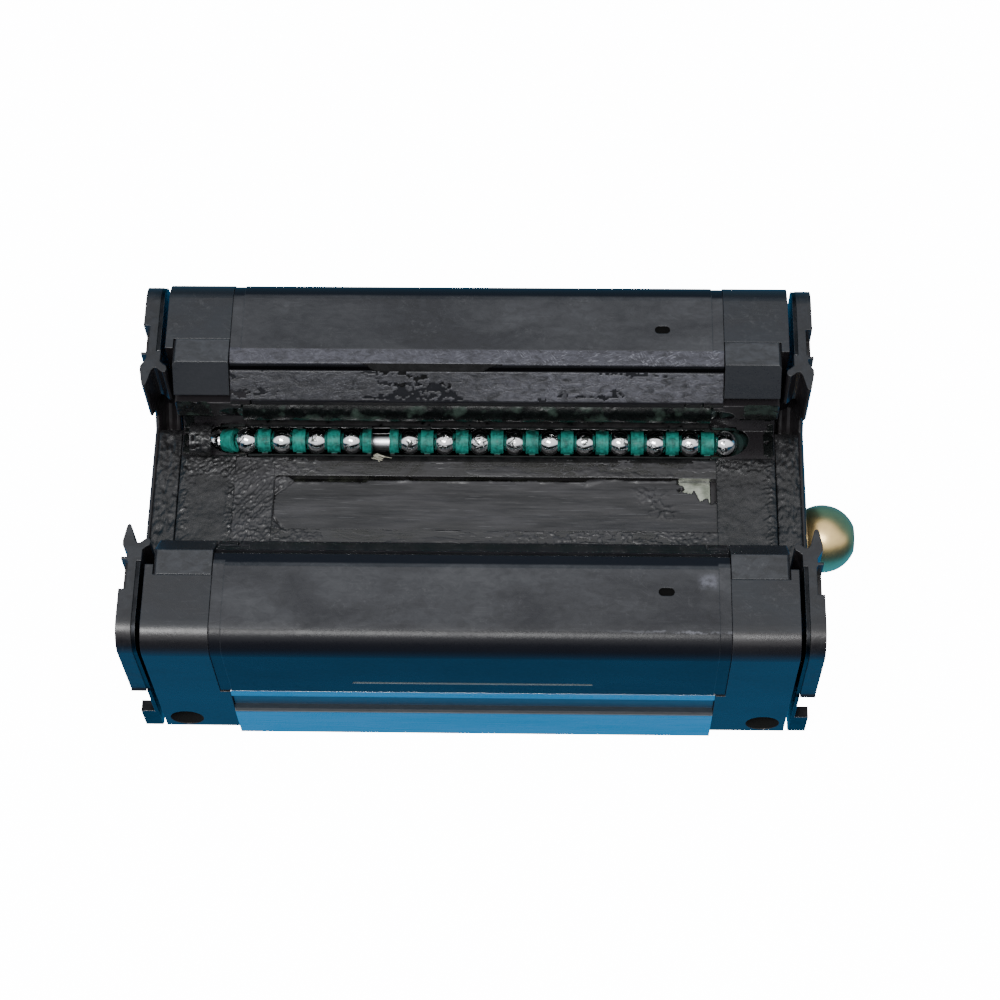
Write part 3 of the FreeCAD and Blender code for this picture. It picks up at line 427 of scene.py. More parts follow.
def cage_resin(name, row=None):
    """Green polymer of the chain. Away from the row's own axis (y, z) its bands lie in dark grease and
    painted shade, and its far side, behind the balls, is painted in shade; a chain with no row given lies
    wholly in grease."""
    m = Material(name, roughness=0.4, specular=0.3)
    edges = m.round_edges(0.08)
    stain = m.between(m.noise(0.8, 4.0, 0.6), 0.46, 0.66)
    streak = m.noise(0.25, 3.0, 0.6, (1, 0.4, 0.4))
    color = m.blend(m.between(streak, 0.35, 0.7), (0.004, 0.135, 0.108), (0.012, 0.250, 0.200))
    color = m.blend(m.math("MULTIPLY", stain, 0.75), color, (0.003, 0.045, 0.038))
    # Painted highlight along the edges.
    color = m.blend(m.math("MULTIPLY", edges, 0.3), color, (0.04, 0.36, 0.30))
    # Dark grease; on the bands and behind the balls it is painted shade as well.
    grease_and_shade = (0.003, 0.005, 0.005)
    if row:
        dy = m.math("SUBTRACT", m.math("ABSOLUTE", m.axis("Y")), row[0])
        dz = m.math("SUBTRACT", m.axis("Z"), row[1])
        away = m.math("SQRT", m.math("ADD", m.math("MULTIPLY", dy, dy), m.math("MULTIPLY", dz, dz)))
        band = m.between(away, 1.42, 1.50)
        # The bands away from the row: dark grease and painted shade.
        color = m.blend(band, color, grease_and_shade)
        uneven = m.math("MULTIPLY", m.math("SUBTRACT", stain, 0.5), 0.5)
        behind = m.between(m.math("ADD", dy, uneven), 0.0, 1.3)
        # Painted shade on the chain's far side, behind the balls.
        color = m.blend(behind, color, grease_and_shade)
    else:
        band = m.between(stain, 0.0, 1.0, 0.93, 1.0)
        color = m.blend(band, color, grease_and_shade)
    rough = m.between(band, 0.0, 1.0, m.between(streak, 0.3, 0.7, 0.34, 0.60), 0.75)
    m.bump(m.math("ADD", streak, stain), 0.05)
    return m.done(color, rough)


def nipple_brass():
    """Polished brass with a few tarnish clouds and a very fine grain."""
    m = Material("nipple_brass", roughness=0.22, metallic=1.0)
    edges = m.round_edges(0.10)
    grain = m.noise(0.09, 3.0, 0.6)
    cloud = m.between(m.noise(1.8, 4.0, 0.6), 0.45, 0.7)
    color = m.blend(cloud, (0.93, 0.68, 0.30), (0.82, 0.58, 0.27))
    # Painted highlight along the edges.
    color = m.blend(m.math("MULTIPLY", edges, 0.4), color, (0.95, 0.82, 0.52))
    m.bump(cloud, 0.003)
    return m.done(color, m.between(grain, 0.3, 0.7, 0.30, 0.36))


def dark_steel(name, low, high, size=0.15):
    """Black-oxide or stamped steel."""
    m = Material(name, roughness=0.35, metallic=1.0)
    edges = m.round_edges(0.08)
    grain = m.noise(size, 4.0, 0.7)
    cloud = m.between(m.noise(1.5, 3.0), 0.4, 0.7)
    color = m.blend(cloud, low, high)
    # Painted highlight along the edges.
    color = m.blend(m.math("MULTIPLY", edges, 0.4), color, (0.5, 0.5, 0.5))
    rough = m.between(grain, 0.3, 0.7, 0.28, 0.45)
    m.bump(grain, 0.006)
    return m.done(color, rough)


def guide_resin():
    """Acetal under a coat of used grease."""
    m = Material("guide_resin", roughness=0.4)
    stain = m.between(m.noise(1.4, 4.0, 0.6), 0.45, 0.7)
    fine = m.noise(0.2, 3.0)
    color = m.blend(stain, (0.050, 0.049, 0.042), (0.014, 0.014, 0.012))
    m.bump(fine, 0.01)
    return m.done(color, m.between(fine, 0.3, 0.7, 0.30, 0.45))


def wet_grease(name, base, light, specular=0.5, olive=False):
    """Dark used grease: nearly black and wet, and with olive patches high in the channel if olive."""
    m = Material(name, roughness=0.15, specular=specular, coat=0.4 * specular, coat_roughness=0.05)
    cloud = m.between(m.noise(1.6, 5.0, 0.65, distortion=1.0), 0.40, 0.66)
    grit = m.noise(0.14, 4.0, 0.75)
    color = m.blend(cloud, base, light)
    if olive:
        high = m.math("MULTIPLY", m.inside("Z", 15.5, 21.2, 0.5), m.between(m.noise(3.4, 3.0), 0.52, 0.62))
        color = m.blend(high, color, (0.030, 0.046, 0.037))
    # Pale specks of grit, stronger where the grease is glossier: grit and painted glints together.
    color = m.blend(m.between(grit, 0.66, 0.76, 0.0, 0.4 * specular), color, (0.08, 0.08, 0.082))
    rough = m.between(grit, 0.3, 0.75, 0.16, 0.46)
    m.bump(grit, 0.035)
    return m.done(color, rough)


def worn_film():
    """A thin, drier grease skin that has been wiped along the rail."""
    m = Material("worn_film", roughness=0.35, coat=0.1, coat_roughness=0.2)
    streak = m.noise(0.16, 5.0, 0.7, (0.025, 1, 1), 0.2)
    thread = m.between(m.noise(0.11, 2.0, 0.5, (0.03, 1, 1)), 0.66, 0.72)
    cloud = m.between(m.noise(2.6, 4.0, 0.6, (0.25, 1, 1)), 0.38, 0.66)
    speck = m.noise(0.12, 3.0, 0.7)
    color = m.blend(cloud, (0.014, 0.0137, 0.015), (0.036, 0.035, 0.038))
    color = m.blend(m.between(streak, 0.56, 0.76, 0.0, 0.35), color, (0.085, 0.085, 0.09))
    color = m.blend(m.between(streak, 0.44, 0.28, 0.0, 0.7), color, (0.006, 0.006, 0.006))
    color = m.blend(m.math("MULTIPLY", thread, 0.3), color, (0.20, 0.20, 0.21))
    rough = m.between(streak, 0.3, 0.7, 0.32, 0.50)
    m.bump(streak, 0.016)
    m.bump(speck, 0.008)
    return m.done(color, rough)


def strip_resin():
    """The smooth moulding of the two bottom seals, thinly greased."""
    m = Material("strip_resin", roughness=0.36, specular=0.4)
    cloud = m.between(m.noise(3.0, 4.0, 0.6, (0.3, 1, 1)), 0.38, 0.66)
    speck = m.between(m.noise(0.3, 3.0, 0.6), 0.70, 0.76, 0.0, 0.5)
    color = m.blend(cloud, (0.007, 0.007, 0.009), (0.012, 0.012, 0.0145))
    color = m.blend(speck, color, (0.06, 0.06, 0.065))
    return m.done(color, m.between(cloud, 0.0, 1.0, 0.30, 0.38))


def matt_grease():
    """Dried black grease that hardly reflects; on the banks beside the far floor row it also stands in for
    shade over the chain's bands.
    """
    m = Material("matt_grease", roughness=0.6, specular=0.12)
    cloud = m.between(m.noise(1.2, 4.0, 0.65), 0.40, 0.66)
    grit = m.noise(0.16, 4.0, 0.7)
    color = m.blend(cloud, (0.0025, 0.0025, 0.0028), (0.009, 0.009, 0.0095))
    m.bump(grit, 0.03)
    return m.done(color, m.between(grit, 0.3, 0.7, 0.5, 0.7))


def torn_sheen():
    """Half-dry grease that has flaked off in sheets, its lilac-grey sheen painted into the colour, brighter
    to the right.
    """
    m = Material("torn_sheen", roughness=0.35)
    cloud = m.between(m.noise(0.9, 5.0, 0.75, (0.5, 1, 1), 1.0), 0.36, 0.66)
    grain = m.noise(0.13, 4.0, 0.75)
    # Painted sheen: a lighter lilac-grey towards the right.
    right = m.between(m.axis("X"), -4.0, 7.0)
    bright = m.blend(right, (0.048, 0.048, 0.055), (0.095, 0.095, 0.112))
    color = m.blend(cloud, (0.016, 0.016, 0.018), bright)
    lines = m.math("ADD", m.scratches(0.14, 8, 0.58, 45), m.scratches(0.12, 12, 0.60, -12), clamp=True)
    color = m.blend(m.math("MULTIPLY", lines, 0.22), color, (0.28, 0.28, 0.32))
    # Pale specks: painted glints of the sheen.
    color = m.blend(m.between(grain, 0.60, 0.72, 0.0, 0.35), color, (0.15, 0.15, 0.17))
    m.bump(grain, 0.025)
    m.bump(cloud, 0.04)
    return m.done(color, m.between(grain, 0.3, 0.7, 0.26, 0.46))


def pale_fibre():
    """Cream lint."""
    m = Material("pale_fibre", roughness=0.5)
    tone = m.noise(0.4, 3.0)
    m.bump(m.noise(0.05, 2.0, 0.5, (0.2, 1, 1)), 0.01)
    return m.done(m.blend(tone, (0.40, 0.38, 0.29), (0.58, 0.56, 0.46)))


# A node wears its slot's material, unless SPECIAL names another for it.
BY_SLOT = {
    "ground_steel": ground_steel(),
    "black_resin": resin("black_resin", (0.0125, 0.0110, 0.0125), (0.020, 0.0225, 0.0275), 0.6),
    "seal_rubber": seal_rubber(),
    "plate_steel": dark_steel("plate_steel", (0.018, 0.019, 0.021), (0.035, 0.036, 0.039), 0.3),
    "ball_steel": ball_steel(),
    "cage_resin": cage_resin("buried_cage_resin"),
    "guide_resin": guide_resin(),
    "screw_steel": dark_steel("screw_steel", (0.03, 0.03, 0.032), (0.07, 0.07, 0.072)),
    "nipple_brass": nipple_brass(),
    "spring_steel": dark_steel("spring_steel", (0.45, 0.45, 0.46), (0.60, 0.60, 0.61), 0.05),
}
OILY = oily_resin()
FRESH_CHAIN = cage_resin("cage_resin", FLOOR_ROW)
GREASED_BALL = greased_ball()
CASING = resin("casing_resin", (0.0085, 0.0085, 0.0115), (0.061, 0.0615, 0.066), 0.6, 0.24,
               wear_and_light=casing_wear_and_light)
INSERT = resin("insert_resin", (0.021, 0.022, 0.0255), (0.044, 0.046, 0.052), 0.8, 0.5, 0.7)
STRIP = strip_resin()
GREASE = wet_grease("grease", (0.006, 0.006, 0.0066), (0.021, 0.0205, 0.022))
OLIVE = wet_grease("olive_grease", (0.0015, 0.002, 0.002), (0.004, 0.0055, 0.005), 0.2, olive=True)
FILM = worn_film()
MATT = matt_grease()
SHEEN = torn_sheen()
FIBRE = pale_fibre()
SPECIAL = {
    "floor_retainer": OILY, "bottom_seal_far": STRIP, "bottom_seal_near": STRIP,
    "casing_far": CASING, "casing_near": CASING,
    "waist_row_far_loaded_balls": GREASED_BALL, "waist_row_near_loaded_balls": GREASED_BALL,
}
for side in ("far", "near"):
    for end in ("left", "right"):
        SPECIAL[f"leg_insert_{end}_{side}"] = INSERT
    for segment in ("loaded", "turn_left"):
        SPECIAL[f"floor_row_{side}_{segment}_chain"] = FRESH_CHAIN


def dress_nodes():
    """Give every CAD node its material."""
    for entry in frame["record"]["subparts"]:
        node = NODES[entry["node"]]
        node.data.materials.clear()
        node.data.materials.append(SPECIAL.get(node.name) or BY_SLOT[entry["material_slot"]])


# ---- grease ------------------------------------------------------------------------------------
MESH_STEP = 0.14        # spacing of a grease skin's vertices
SKIN_RIM = -0.03        # height of a skin's rim, just under the surface that it lies on
SKIN_UNDERSIDE = -0.06


def fractal(x, y, size, seed, octaves=4, stretch=1.0):
    """Smooth noise from about -1 to 1; size is in millimetres, stretch draws it out along x."""
    point = Vector((x / size / stretch, y / size, seed * 7.31))
    return noise.fractal(point, 0.8, 2.1, octaves, noise_basis="PERLIN_ORIGINAL") * 1.4


def along_profile(profile, t):
    """Point and outward normal on a YZ polyline at distance t from its start."""
    for (y0, z0), (y1, z1) in zip(profile, profile[1:]):
        length = math.hypot(y1 - y0, z1 - z0)
        if t <= length or (y1, z1) == profile[-1]:
            f = t / length
            normal = ((z0 - z1) / length, (y1 - y0) / length)
            return (y0 + (y1 - y0) * f, z0 + (z1 - z0) * f), normal
        t -= length


def profile_length(profile):
    return sum(math.dist(a, b) for a, b in zip(profile, profile[1:]))


def coat(name, profile, x0, x1, height, material=GREASE, step=MESH_STEP):
    """A closed skin of grease on a YZ profile pushed along x. height(x, t) is in millimetres, and
    where it is negative there is no grease. The underside lies just inside the surface."""
    length = profile_length(profile)
    columns = max(2, round((x1 - x0) / step))
    rows = max(2, round(length / step))
    levels = []
    for i in range(columns + 1):
        x = x0 + (x1 - x0) * i / columns
        levels.append([height(x, length * j / rows) for j in range(rows + 1)])
    mesh = bmesh.new()
    top = {}
    under = {}

    def vertex(store, i, j, lift):
        if (i, j) not in store:
            x = x0 + (x1 - x0) * i / columns
            (y, z), (ny, nz) = along_profile(profile, length * j / rows)
            store[i, j] = mesh.verts.new(Vector((x, y + ny * lift, z + nz * lift)) * MM)
        return store[i, j]

    kept = set()
    for i in range(columns):
        for j in range(rows):
            square = ((i, j), (i + 1, j), (i + 1, j + 1), (i, j + 1))
            if max(levels[a][b] for a, b in square) > 0.0:
                kept.add((i, j))
                mesh.faces.new([vertex(top, a, b, max(levels[a][b], SKIN_RIM)) for a, b in square])
                mesh.faces.new([vertex(under, a, b, SKIN_UNDERSIDE) for a, b in reversed(square)])
    for i, j in kept:
        for di, dj, a, b in ((-1, 0, (i, j + 1), (i, j)), (1, 0, (i + 1, j), (i + 1, j + 1)),
                             (0, -1, (i, j), (i + 1, j)), (0, 1, (i + 1, j + 1), (i, j + 1))):
            if (i + di, j + dj) not in kept:
                mesh.faces.new([top[b], top[a], under[a], under[b]])
    bmesh.ops.recalc_face_normals(mesh, faces=mesh.faces)
    finish_piece(mesh, name, material)


def link_mesh(mesh, name, material):
    """A smooth-shaded object in the scene from a bmesh, which is freed."""
    data = bpy.data.meshes.new(name)
    mesh.to_mesh(data)
    mesh.free()
    for face in data.polygons:
        face.use_smooth = True
    data.materials.append(material)
    made = bpy.data.objects.new(name, data)
    bpy.context.scene.collection.objects.link(made)
    return made


def finish_piece(mesh, name, material):
    """A piece that rides on the carriage."""
    piece = link_mesh(mesh, name, material)
    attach(piece, "carriage")
    return piece


def clamped(value):
    """The value, kept from 0 to 1."""
    return max(0.0, min(1.0, value))


def edge_fade(value, low, high, soft):
    """1 well inside an interval, falling to 0 at its ends."""
    return clamped(min((value - low) / soft, (high - value) / soft))


def ridged(x, y, size, seed, octaves=3, stretch=1.0):
    """Sharp creases: 1 along them, falling below 0 between."""
    return 1.0 - 3.0 * abs(fractal(x, y, size, seed, octaves, stretch))


def floor_end_height(sign):
    """Leathery grease on the channel floor beside an end: smooth in the middle, creased along its
    rim, and more so at the left end, where sign is -1."""
    start = PLATE_END - 5.4
    if sign > 0:
        balls_t, inner_end, inner_share = 9.8, PLATE_END + 0.2, 0.3
    else:
        balls_t, inner_end, inner_share = 8.8, PLATE_END + 1.0, 1.0

    def height(x, t):
        fade = edge_fade(abs(x), start, INSERT_END + 0.2, 0.7) * edge_fade(t, 0.0, 12.2, 0.5)
        leather = 0.015 * fractal(x, t, 0.35, 9 + sign, 4) + 0.05 * fractal(x, t, 2.2, 15 + sign, 3)
        beside_seal = clamped((abs(x) - 33.4) / 1.2)
        beside_balls = edge_fade(t, balls_t, 12.6, 1.0)
        inner = edge_fade(abs(x), start, inner_end, 0.9)
        crinkle = max(0.8 * beside_seal, beside_balls, inner * inner_share)
        creases = crushed(x, t) + 0.04 * ridged(t, x, 0.6, 5 + sign, 3)
        return (0.14 + leather + crinkle * creases) * fade - 0.02
    return height


def slit_width(x):
    """How far the film has shrunk from the window's far edge."""
    wide = 0.65 * edge_fade(x, -22.4, -12.4, 0.8)
    long = 0.40 * edge_fade(x, -13.6, 13.4, 0.6)
    thin = 0.16 * edge_fade(x, 16.8, 24.0, 1.0)
    return max(wide, long, thin) + 0.06 * fractal(x, 0.0, 1.1, 33, 3)


def window_height(x, t):
    """Wiped film that fills the window, shrunk from its far edge, crumpled at its left end, and torn
    open over bare metal at its far right corner."""
    y = t - WINDOW_HALF
    film = 0.82 + 0.012 * fractal(x, t, 0.35, 21, 4, 12.0) + 0.035 * fractal(x, t, 2.4, 24, 3, 6.0)
    start = -24.2 + 0.20 * (y + 0.6) ** 2 + 0.35 * fractal(y, 0.0, 1.6, 29, 3)
    crumpled = clamped((start - x) / 0.5)
    film += crumpled * (crushed(x, y) + 0.10)
    groove = edge_fade(x, start - 0.20, start + 0.20, 0.18) * (0.5 + 0.8 * fractal(y, 0.0, 1.0, 36, 3))
    film -= 0.30 * max(0.0, groove)
    lumps = edge_fade(x + 0.5 * y, 18.9, 23.6, 1.4) * edge_fade(y, -2.2, 2.6, 1.0)
    film += lumps * max(0.0, 0.11 * ridged(x, y, 1.3, 28, 2) + 0.05 * fractal(x, y, 0.35, 38, 3))
    curl = edge_fade(x, 12.6, 15.2, 0.5) * edge_fade(y, 2.1 + 0.4 * (x - 12.6), 3.4, 0.4)
    film += 0.16 * curl
    edge = WINDOW_HALF - 0.05 - slit_width(x)
    gap = clamped((y - edge) / 0.10)
    lip = edge_fade(y, edge - 0.35, edge, 0.16)
    film += 0.10 * lip * max(0.0, 0.4 + fractal(x, 0.0, 1.4, 37, 3))
    tear_x = edge_fade(x, 23.7 + 0.7 * fractal(y, 0.0, 1.2, 31, 4), 28.6, 0.2)
    tear_y = edge_fade(y, 0.75 + 0.30 * (28.0 - x) + 0.8 * fractal(x, 0.0, 1.3, 32, 4), 3.9, 0.2)
    hole = max(gap, tear_x * tear_y)
    return min(film, 1.12) * (1.0 - hole) - 0.3 * hole


def crushed(x, y):
    """Thin slanting folds with finer creases across them, like crushed foil."""
    along, over = 0.6 * x + 0.8 * y, 0.8 * x - 0.6 * y
    bend = 0.9 * fractal(x, y, 4.0, 34, 2)
    patch = clamped(0.55 + 1.5 * fractal(x, y, 3.2, 30, 2))
    long_folds = 0.30 * max(0.0, ridged(over, along + bend, 1.7, 26, 2, 0.35) - 0.40)
    creases = 0.24 * patch * max(0.0, ridged(over + bend, along, 1.1, 27, 2, 0.4) - 0.50)
    return long_folds + creases + 0.012 * fractal(x, y, 0.5, 28, 4) + 0.05 * fractal(x, y, 1.8, 29, 2)


def plate_left_height(x, t):
    """Crushed film on the plate left of the window."""
    y = t - PLATE_HALF
    fade = edge_fade(x, -PLATE_END - 0.6, WINDOW_LEFT + 0.6, 0.6)
    return (0.10 + crushed(x, y)) * fade - 0.02


def plate_height(seed, lumps):
    """Thin smears on the plate beside the window, heavier towards the right where lumps is large."""
    def height(x, t):
        smear = fractal(x, t, 1.2, seed, 4, 5.0)
        heavy = lumps * edge_fade(x, 3.0, PLATE_END + 1.0, 6.0)
        left = edge_fade(x, -PLATE_END, -18.0, 1.5)
        rough = 0.10 * ridged(x, t, 0.8, seed + 2, 3, 1.6) + 0.07 * fractal(x, t, 0.28, seed + 5, 3)
        return -0.015 + 0.045 * smear + (heavy + 0.8 * left) * (0.05 + rough)
    return height


def strip_height(x, t):
    """A torn film on the far bottom seal; its edges are sharp where it has flaked off."""
    sheet = fractal(x, t, 2.2, 61, 3, 5.0) + 0.22 * fractal(x, t, 0.8, 62, 3, 1.5)
    film = max(-0.03, min(0.07, 0.8 * (sheet + 0.45)))
    bits = max(0.0, fractal(x, t, 0.40, 63, 3) - 0.34) * 0.6
    if film > 0:
        return film + bits + 0.015 * fractal(x, t, 0.25, 64, 2)
    return film + 0.5 * bits - 0.03


def flake_height(x, t):
    """A dark film that hangs from the casing's edge over the slit and half down the strip."""
    reach = edge_fade(x, t - 13.2, 2.4 - 1.1 * t, 1.6) * (2.2 + 1.1 * fractal(x, 0.0, 2.6, 83, 4))
    level = 0.10 * min(1.0, (reach - t) * 1.6)
    return level + 0.03 * fractal(x, t, 0.6, 84, 3) if level > -0.02 else -0.05


WALL_START, WALL_END = 31.2, 35.2
BALLS_CLEAR_X = 34.0                        # the balls swing through the wall's low part up to here


def wall_height(seed, length):
    """Wet grease on a cap's channel wall; it keeps clear of the balls where they enter the cap."""
    def height(x, t):
        fade = edge_fade(abs(x), WALL_START, WALL_END + 0.1, 0.6) * edge_fade(t, 0.0, length, 0.4)
        if t > length - 5.2:
            fade *= clamped((abs(x) - BALLS_CLEAR_X) / 0.4)
        body = 0.10 + 0.07 * ridged(x, t, 1.4, seed) + 0.04 * fractal(x, t, 0.4, seed + 1, 3)
        return body * fade - 0.03
    return height


def ridge_height(seed, length, half, rise):
    """A bank of grease beside a ball row. It ends at half along x, and thins where t nears length."""
    def height(x, t):
        ends = edge_fade(x, -half, half, 1.0)
        lumps = 0.6 * fractal(x, t, 1.6, seed, 4, 1.8) + 0.5 * ridged(x, t, 0.7, seed + 1, 2)
        return (0.07 + rise * lumps) * ends * min(1.0, 0.5 + (length - t) * 4.0) - 0.02
    return height


BEAD_START = -28.7
BEAD_PITCH = 4.16


def curtain_height(x, t):
    """Grease that hangs smoothly over the waist row, with a small bead at each gap of the chain."""
    bead_x = (x - BEAD_START + BEAD_PITCH / 2) % BEAD_PITCH - BEAD_PITCH / 2
    bead_t = t - 1.5 - 0.4 * fractal(x - bead_x, 0.0, 3.0, 94, 2)
    bead = max(0.0, 1.0 - math.hypot(bead_x / 0.8, bead_t / 0.35))
    lumps = 0.4 * max(0.0, fractal(x, t, 0.5, 99, 3) - 0.35)
    sheet = 0.09 + 0.06 * fractal(x, t, 2.6, 95, 3, 1.7)
    return max(0.02, min(0.12, sheet)) + 0.22 * (bead + lumps)


def lip_height(x, t):
    """Grease packed between the cap and the seal's outer lip."""
    rise = clamped((abs(x) - INSERT_END) / 3.0)
    folds = 0.06 * ridged(x, 0.3 * t, 0.8, 71, 3) + 0.03 * fractal(x, t, 0.5, 72, 3)
    fade = edge_fade(t, 0.0, 2 * LIP_HALF, 0.6) * edge_fade(abs(x), INSERT_END - 0.4, LIP_TIP_X + 0.2, 0.3)
    return (0.14 + 0.22 * rise + folds) * fade - 0.02


def hood_height(x, t):
    """The lump over the far floor row where it dives into the left cap."""
    return 0.10 + 0.12 * fractal(x, t, 1.1, 97, 4) + 0.06 * ridged(x, t, 0.6, 98, 2)


def arc(centre, radius, first, last, count=14):
    """Points of an arc in the YZ plane, from first to last degrees."""
    angles = [math.radians(first + (last - first) * i / count) for i in range(count + 1)]
    return [(centre[0] + radius * math.cos(a), centre[1] + radius * math.sin(a)) for a in angles]


def flipped(height, profile):
    """The same height read from the other end of the profile."""
    length = profile_length(profile)
    return lambda x, t: height(x, length - t)


def add_floor_grease():
    """Leathery grease at both ends of the channel floor, and thin films on the plate and its window."""
    floor = [(-PLATE_HALF, PLATE_TOP), (PLATE_HALF + 0.3, PLATE_TOP)]
    coat("grease_floor_left", floor, -INSERT_END, -PLATE_END + 0.2, floor_end_height(-1))
    coat("grease_floor_right", floor, PLATE_END - 0.6, INSERT_END, floor_end_height(1))
    window = [(-WINDOW_HALF + 0.02, WINDOW_FLOOR), (WINDOW_HALF - 0.02, WINDOW_FLOOR)]
    coat("grease_window", window, WINDOW_LEFT, PLATE_END, window_height, FILM, 0.12)
    plate = [(-PLATE_HALF, PLATE_TOP), (PLATE_HALF, PLATE_TOP)]
    coat("grease_plate_left", plate, -PLATE_END + 0.1, WINDOW_LEFT - 0.05, plate_left_height, FILM, 0.13)
    near = [(-PLATE_HALF, PLATE_TOP), (-WINDOW_HALF - 0.02, PLATE_TOP)]
    far = [(WINDOW_HALF + 0.02, PLATE_TOP), (PLATE_HALF, PLATE_TOP)]
    coat("grease_plate_near", near, WINDOW_LEFT - 0.5, PLATE_END, plate_height(41, 1.0), FILM)
    coat("grease_plate_far", far, WINDOW_LEFT - 0.5, PLATE_END, plate_height(52, 0.25), FILM)


def add_strip_grease():
    """A torn film on the far bottom seal, and flakes that hang on it from the casing's edge."""
    strip = [(11.55, STRIP_TOP - 0.05), (STRIP_EDGE_Y + 0.12, 21.2)]
    coat("grease_strip_far", strip, -CASING_END, CASING_END, strip_height, SHEEN)
    flakes = [(12.28, 24.5), (11.6, 24.0), (10.3, 22.5)]
    coat("grease_flakes", flakes, -13.6, 3.0, flake_height, MATT)


def add_row_grease():
    """Banks beside the far floor row, grease that also stands in for the shade over the chain's bands, a
    curtain over the far waist row, and a lump at the left end.
    """
    # The banks are grease and painted shade: dark sheets over the chain's bands, which lie in shade.
    low_bank = [(5.5, PLATE_TOP - 0.01), (6.0, PLATE_TOP - 0.03), (6.42, PLATE_TOP - 0.35)]
    low_half = 25.8                         # keeps the bank clear of the turning chains
    low_height = ridge_height(101, profile_length(low_bank), low_half + 0.6, 0.02)
    coat("grease_and_shade_bank_low", low_bank, -low_half, low_half, low_height, MATT)
    high_bank = [(9.15, 14.98), (10.3, 15.45), (11.28, 16.0)]
    high_height = ridge_height(111, profile_length(high_bank), ROW_HALF + 2.0, 0.06)
    coat("grease_and_shade_bank_high", high_bank, -ROW_HALF, ROW_HALF, flipped(high_height, high_bank), MATT)
    coat("grease_curtain", arc(WAIST_ROW, 1.80, 225, 116), -ROW_HALF, ROW_HALF, curtain_height, OLIVE)
    coat("grease_hood", arc(FLOOR_ROW, 2.02, 192, 45), -34.2, -31.6, hood_height)


def add_end_grease():
    """Grease packed behind the seals' lips and smeared over the caps' far channel walls."""
    lip = [(-LIP_HALF, PLATE_TOP - 0.1), (LIP_HALF, PLATE_TOP - 0.1)]
    wall = [(9.0, 21.1), (9.0, 17.7), (10.9, 16.2), (10.9, 14.2), (9.9, PLATE_TOP), (6.3, PLATE_TOP)]
    for name, sign in (("left", -1), ("right", 1)):
        lip_ends = sorted((sign * (INSERT_END + 0.1), sign * (LIP_TIP_X + 0.1)))
        coat(f"grease_lip_{name}", lip, *lip_ends, lip_height)
        wall_ends = sorted((sign * WALL_START, sign * WALL_END))
        height = wall_height(90 + sign, profile_length(wall))
        coat(f"grease_wall_{name}", wall, *wall_ends, height, OLIVE, 0.15)


# ---- thin strands ------------------------------------------------------------------------------
FIBRES = 9
FIBRE_RADIUS = 0.032
SPRING_WIRE = 0.1
SPRING_PITCH = 0.7
SPRING_STEPS = 18                           # points in one turn of the coil


def add_strand(name, path, radius, material, sides=5):
    """A closed thin tube along a path, both in millimetres, on the carriage."""
    mesh = bmesh.new()
    rings = []
    for k, point in enumerate(path):
        ahead = Vector(path[min(k + 1, len(path) - 1)]) - Vector(path[max(k - 1, 0)])
        turn = ahead.to_track_quat("Z", "Y")
        ring = []
        for i in range(sides):
            angle = 2 * math.pi * i / sides
            across = turn @ Vector((math.cos(angle), math.sin(angle), 0.0)) * radius
            ring.append(mesh.verts.new((Vector(point) + across) * MM))
        rings.append(ring)
    for a, b in zip(rings, rings[1:]):
        for i in range(sides):
            mesh.faces.new([a[i], a[(i + 1) % sides], b[(i + 1) % sides], b[i]])
    mesh.faces.new(rings[0][::-1])
    mesh.faces.new(rings[-1])
    bmesh.ops.recalc_face_normals(mesh, faces=mesh.faces)
    return finish_piece(mesh, name, material)


def add_fibres():
    """Pale lint stuck in the grease at the gap of the far floor row's chain; the last one strays."""
    steps = 8
    for k in range(FIBRES):
        path = []
        reach = 1.6 if k == FIBRES - 1 else 1.0
        for i in range(steps + 1):
            f = i / steps
            x = CHAIN_GAP[0] - 0.1 + 0.07 * k + 1.15 * f * reach + 0.20 * fractal(f, 0.0, 0.6, 200 + k, 2)
            y = PLATE_HALF - 0.05 + 0.065 * k - 0.35 * f * reach + 0.12 * fractal(f, 0.0, 0.6, 210 + k, 2)
            z = PLATE_TOP + 0.16 + 0.025 * k + 0.05 * fractal(f, 0.0, 0.5, 220 + k, 2)
            path.append((x, y, z))
        add_strand(f"fibre_{k}", path, FIBRE_RADIUS, FIBRE)


def add_nipple_spring():
    """The check ball's coil spring, in the place of the CAD one, which is hidden."""
    low, high = corner("nipple_spring", 0), corner("nipple_spring", 1)
    middle = (low + high) / 2
    radius = (high.z - low.z) / 2 - SPRING_WIRE
    length = high.x - low.x - 2 * SPRING_WIRE
    steps = round(length / SPRING_PITCH * SPRING_STEPS)
    path = []
    for k in range(steps + 1):
        angle = 2 * math.pi * k / SPRING_STEPS
        x = low.x + SPRING_WIRE + length * k / steps
        path.append((x, middle.y + radius * math.sin(angle), middle.z + radius * math.cos(angle)))
    spring = add_strand("nipple_coil", path, SPRING_WIRE, BY_SLOT["spring_steel"], 8)
    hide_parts("nipple_spring")
    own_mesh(spring)


# ---- stage, light and camera -------------------------------------------------------------------
FLOOR_HALF = 1.6        # metres, as every size below
FLOOR_DROP = 0.00002    # keeps the floor clear of the mounting face that lies on it
DOME_RADIUS = 1.5
PAPER_GLOW = 16.0


def floor_paper():
    """Pale paper, lit evenly from within, so that it stays white behind a dark object."""
    m = Material("floor_paper", roughness=0.9, specular=0.1)
    tone = m.blend(m.noise(400.0, 2.0), (0.86, 0.87, 0.88), (0.90, 0.905, 0.91))
    m.links.new(tone, m.shader.inputs["Emission Color"])
    m.shader.inputs["Emission Strength"].default_value = PAPER_GLOW
    return m.done(tone)


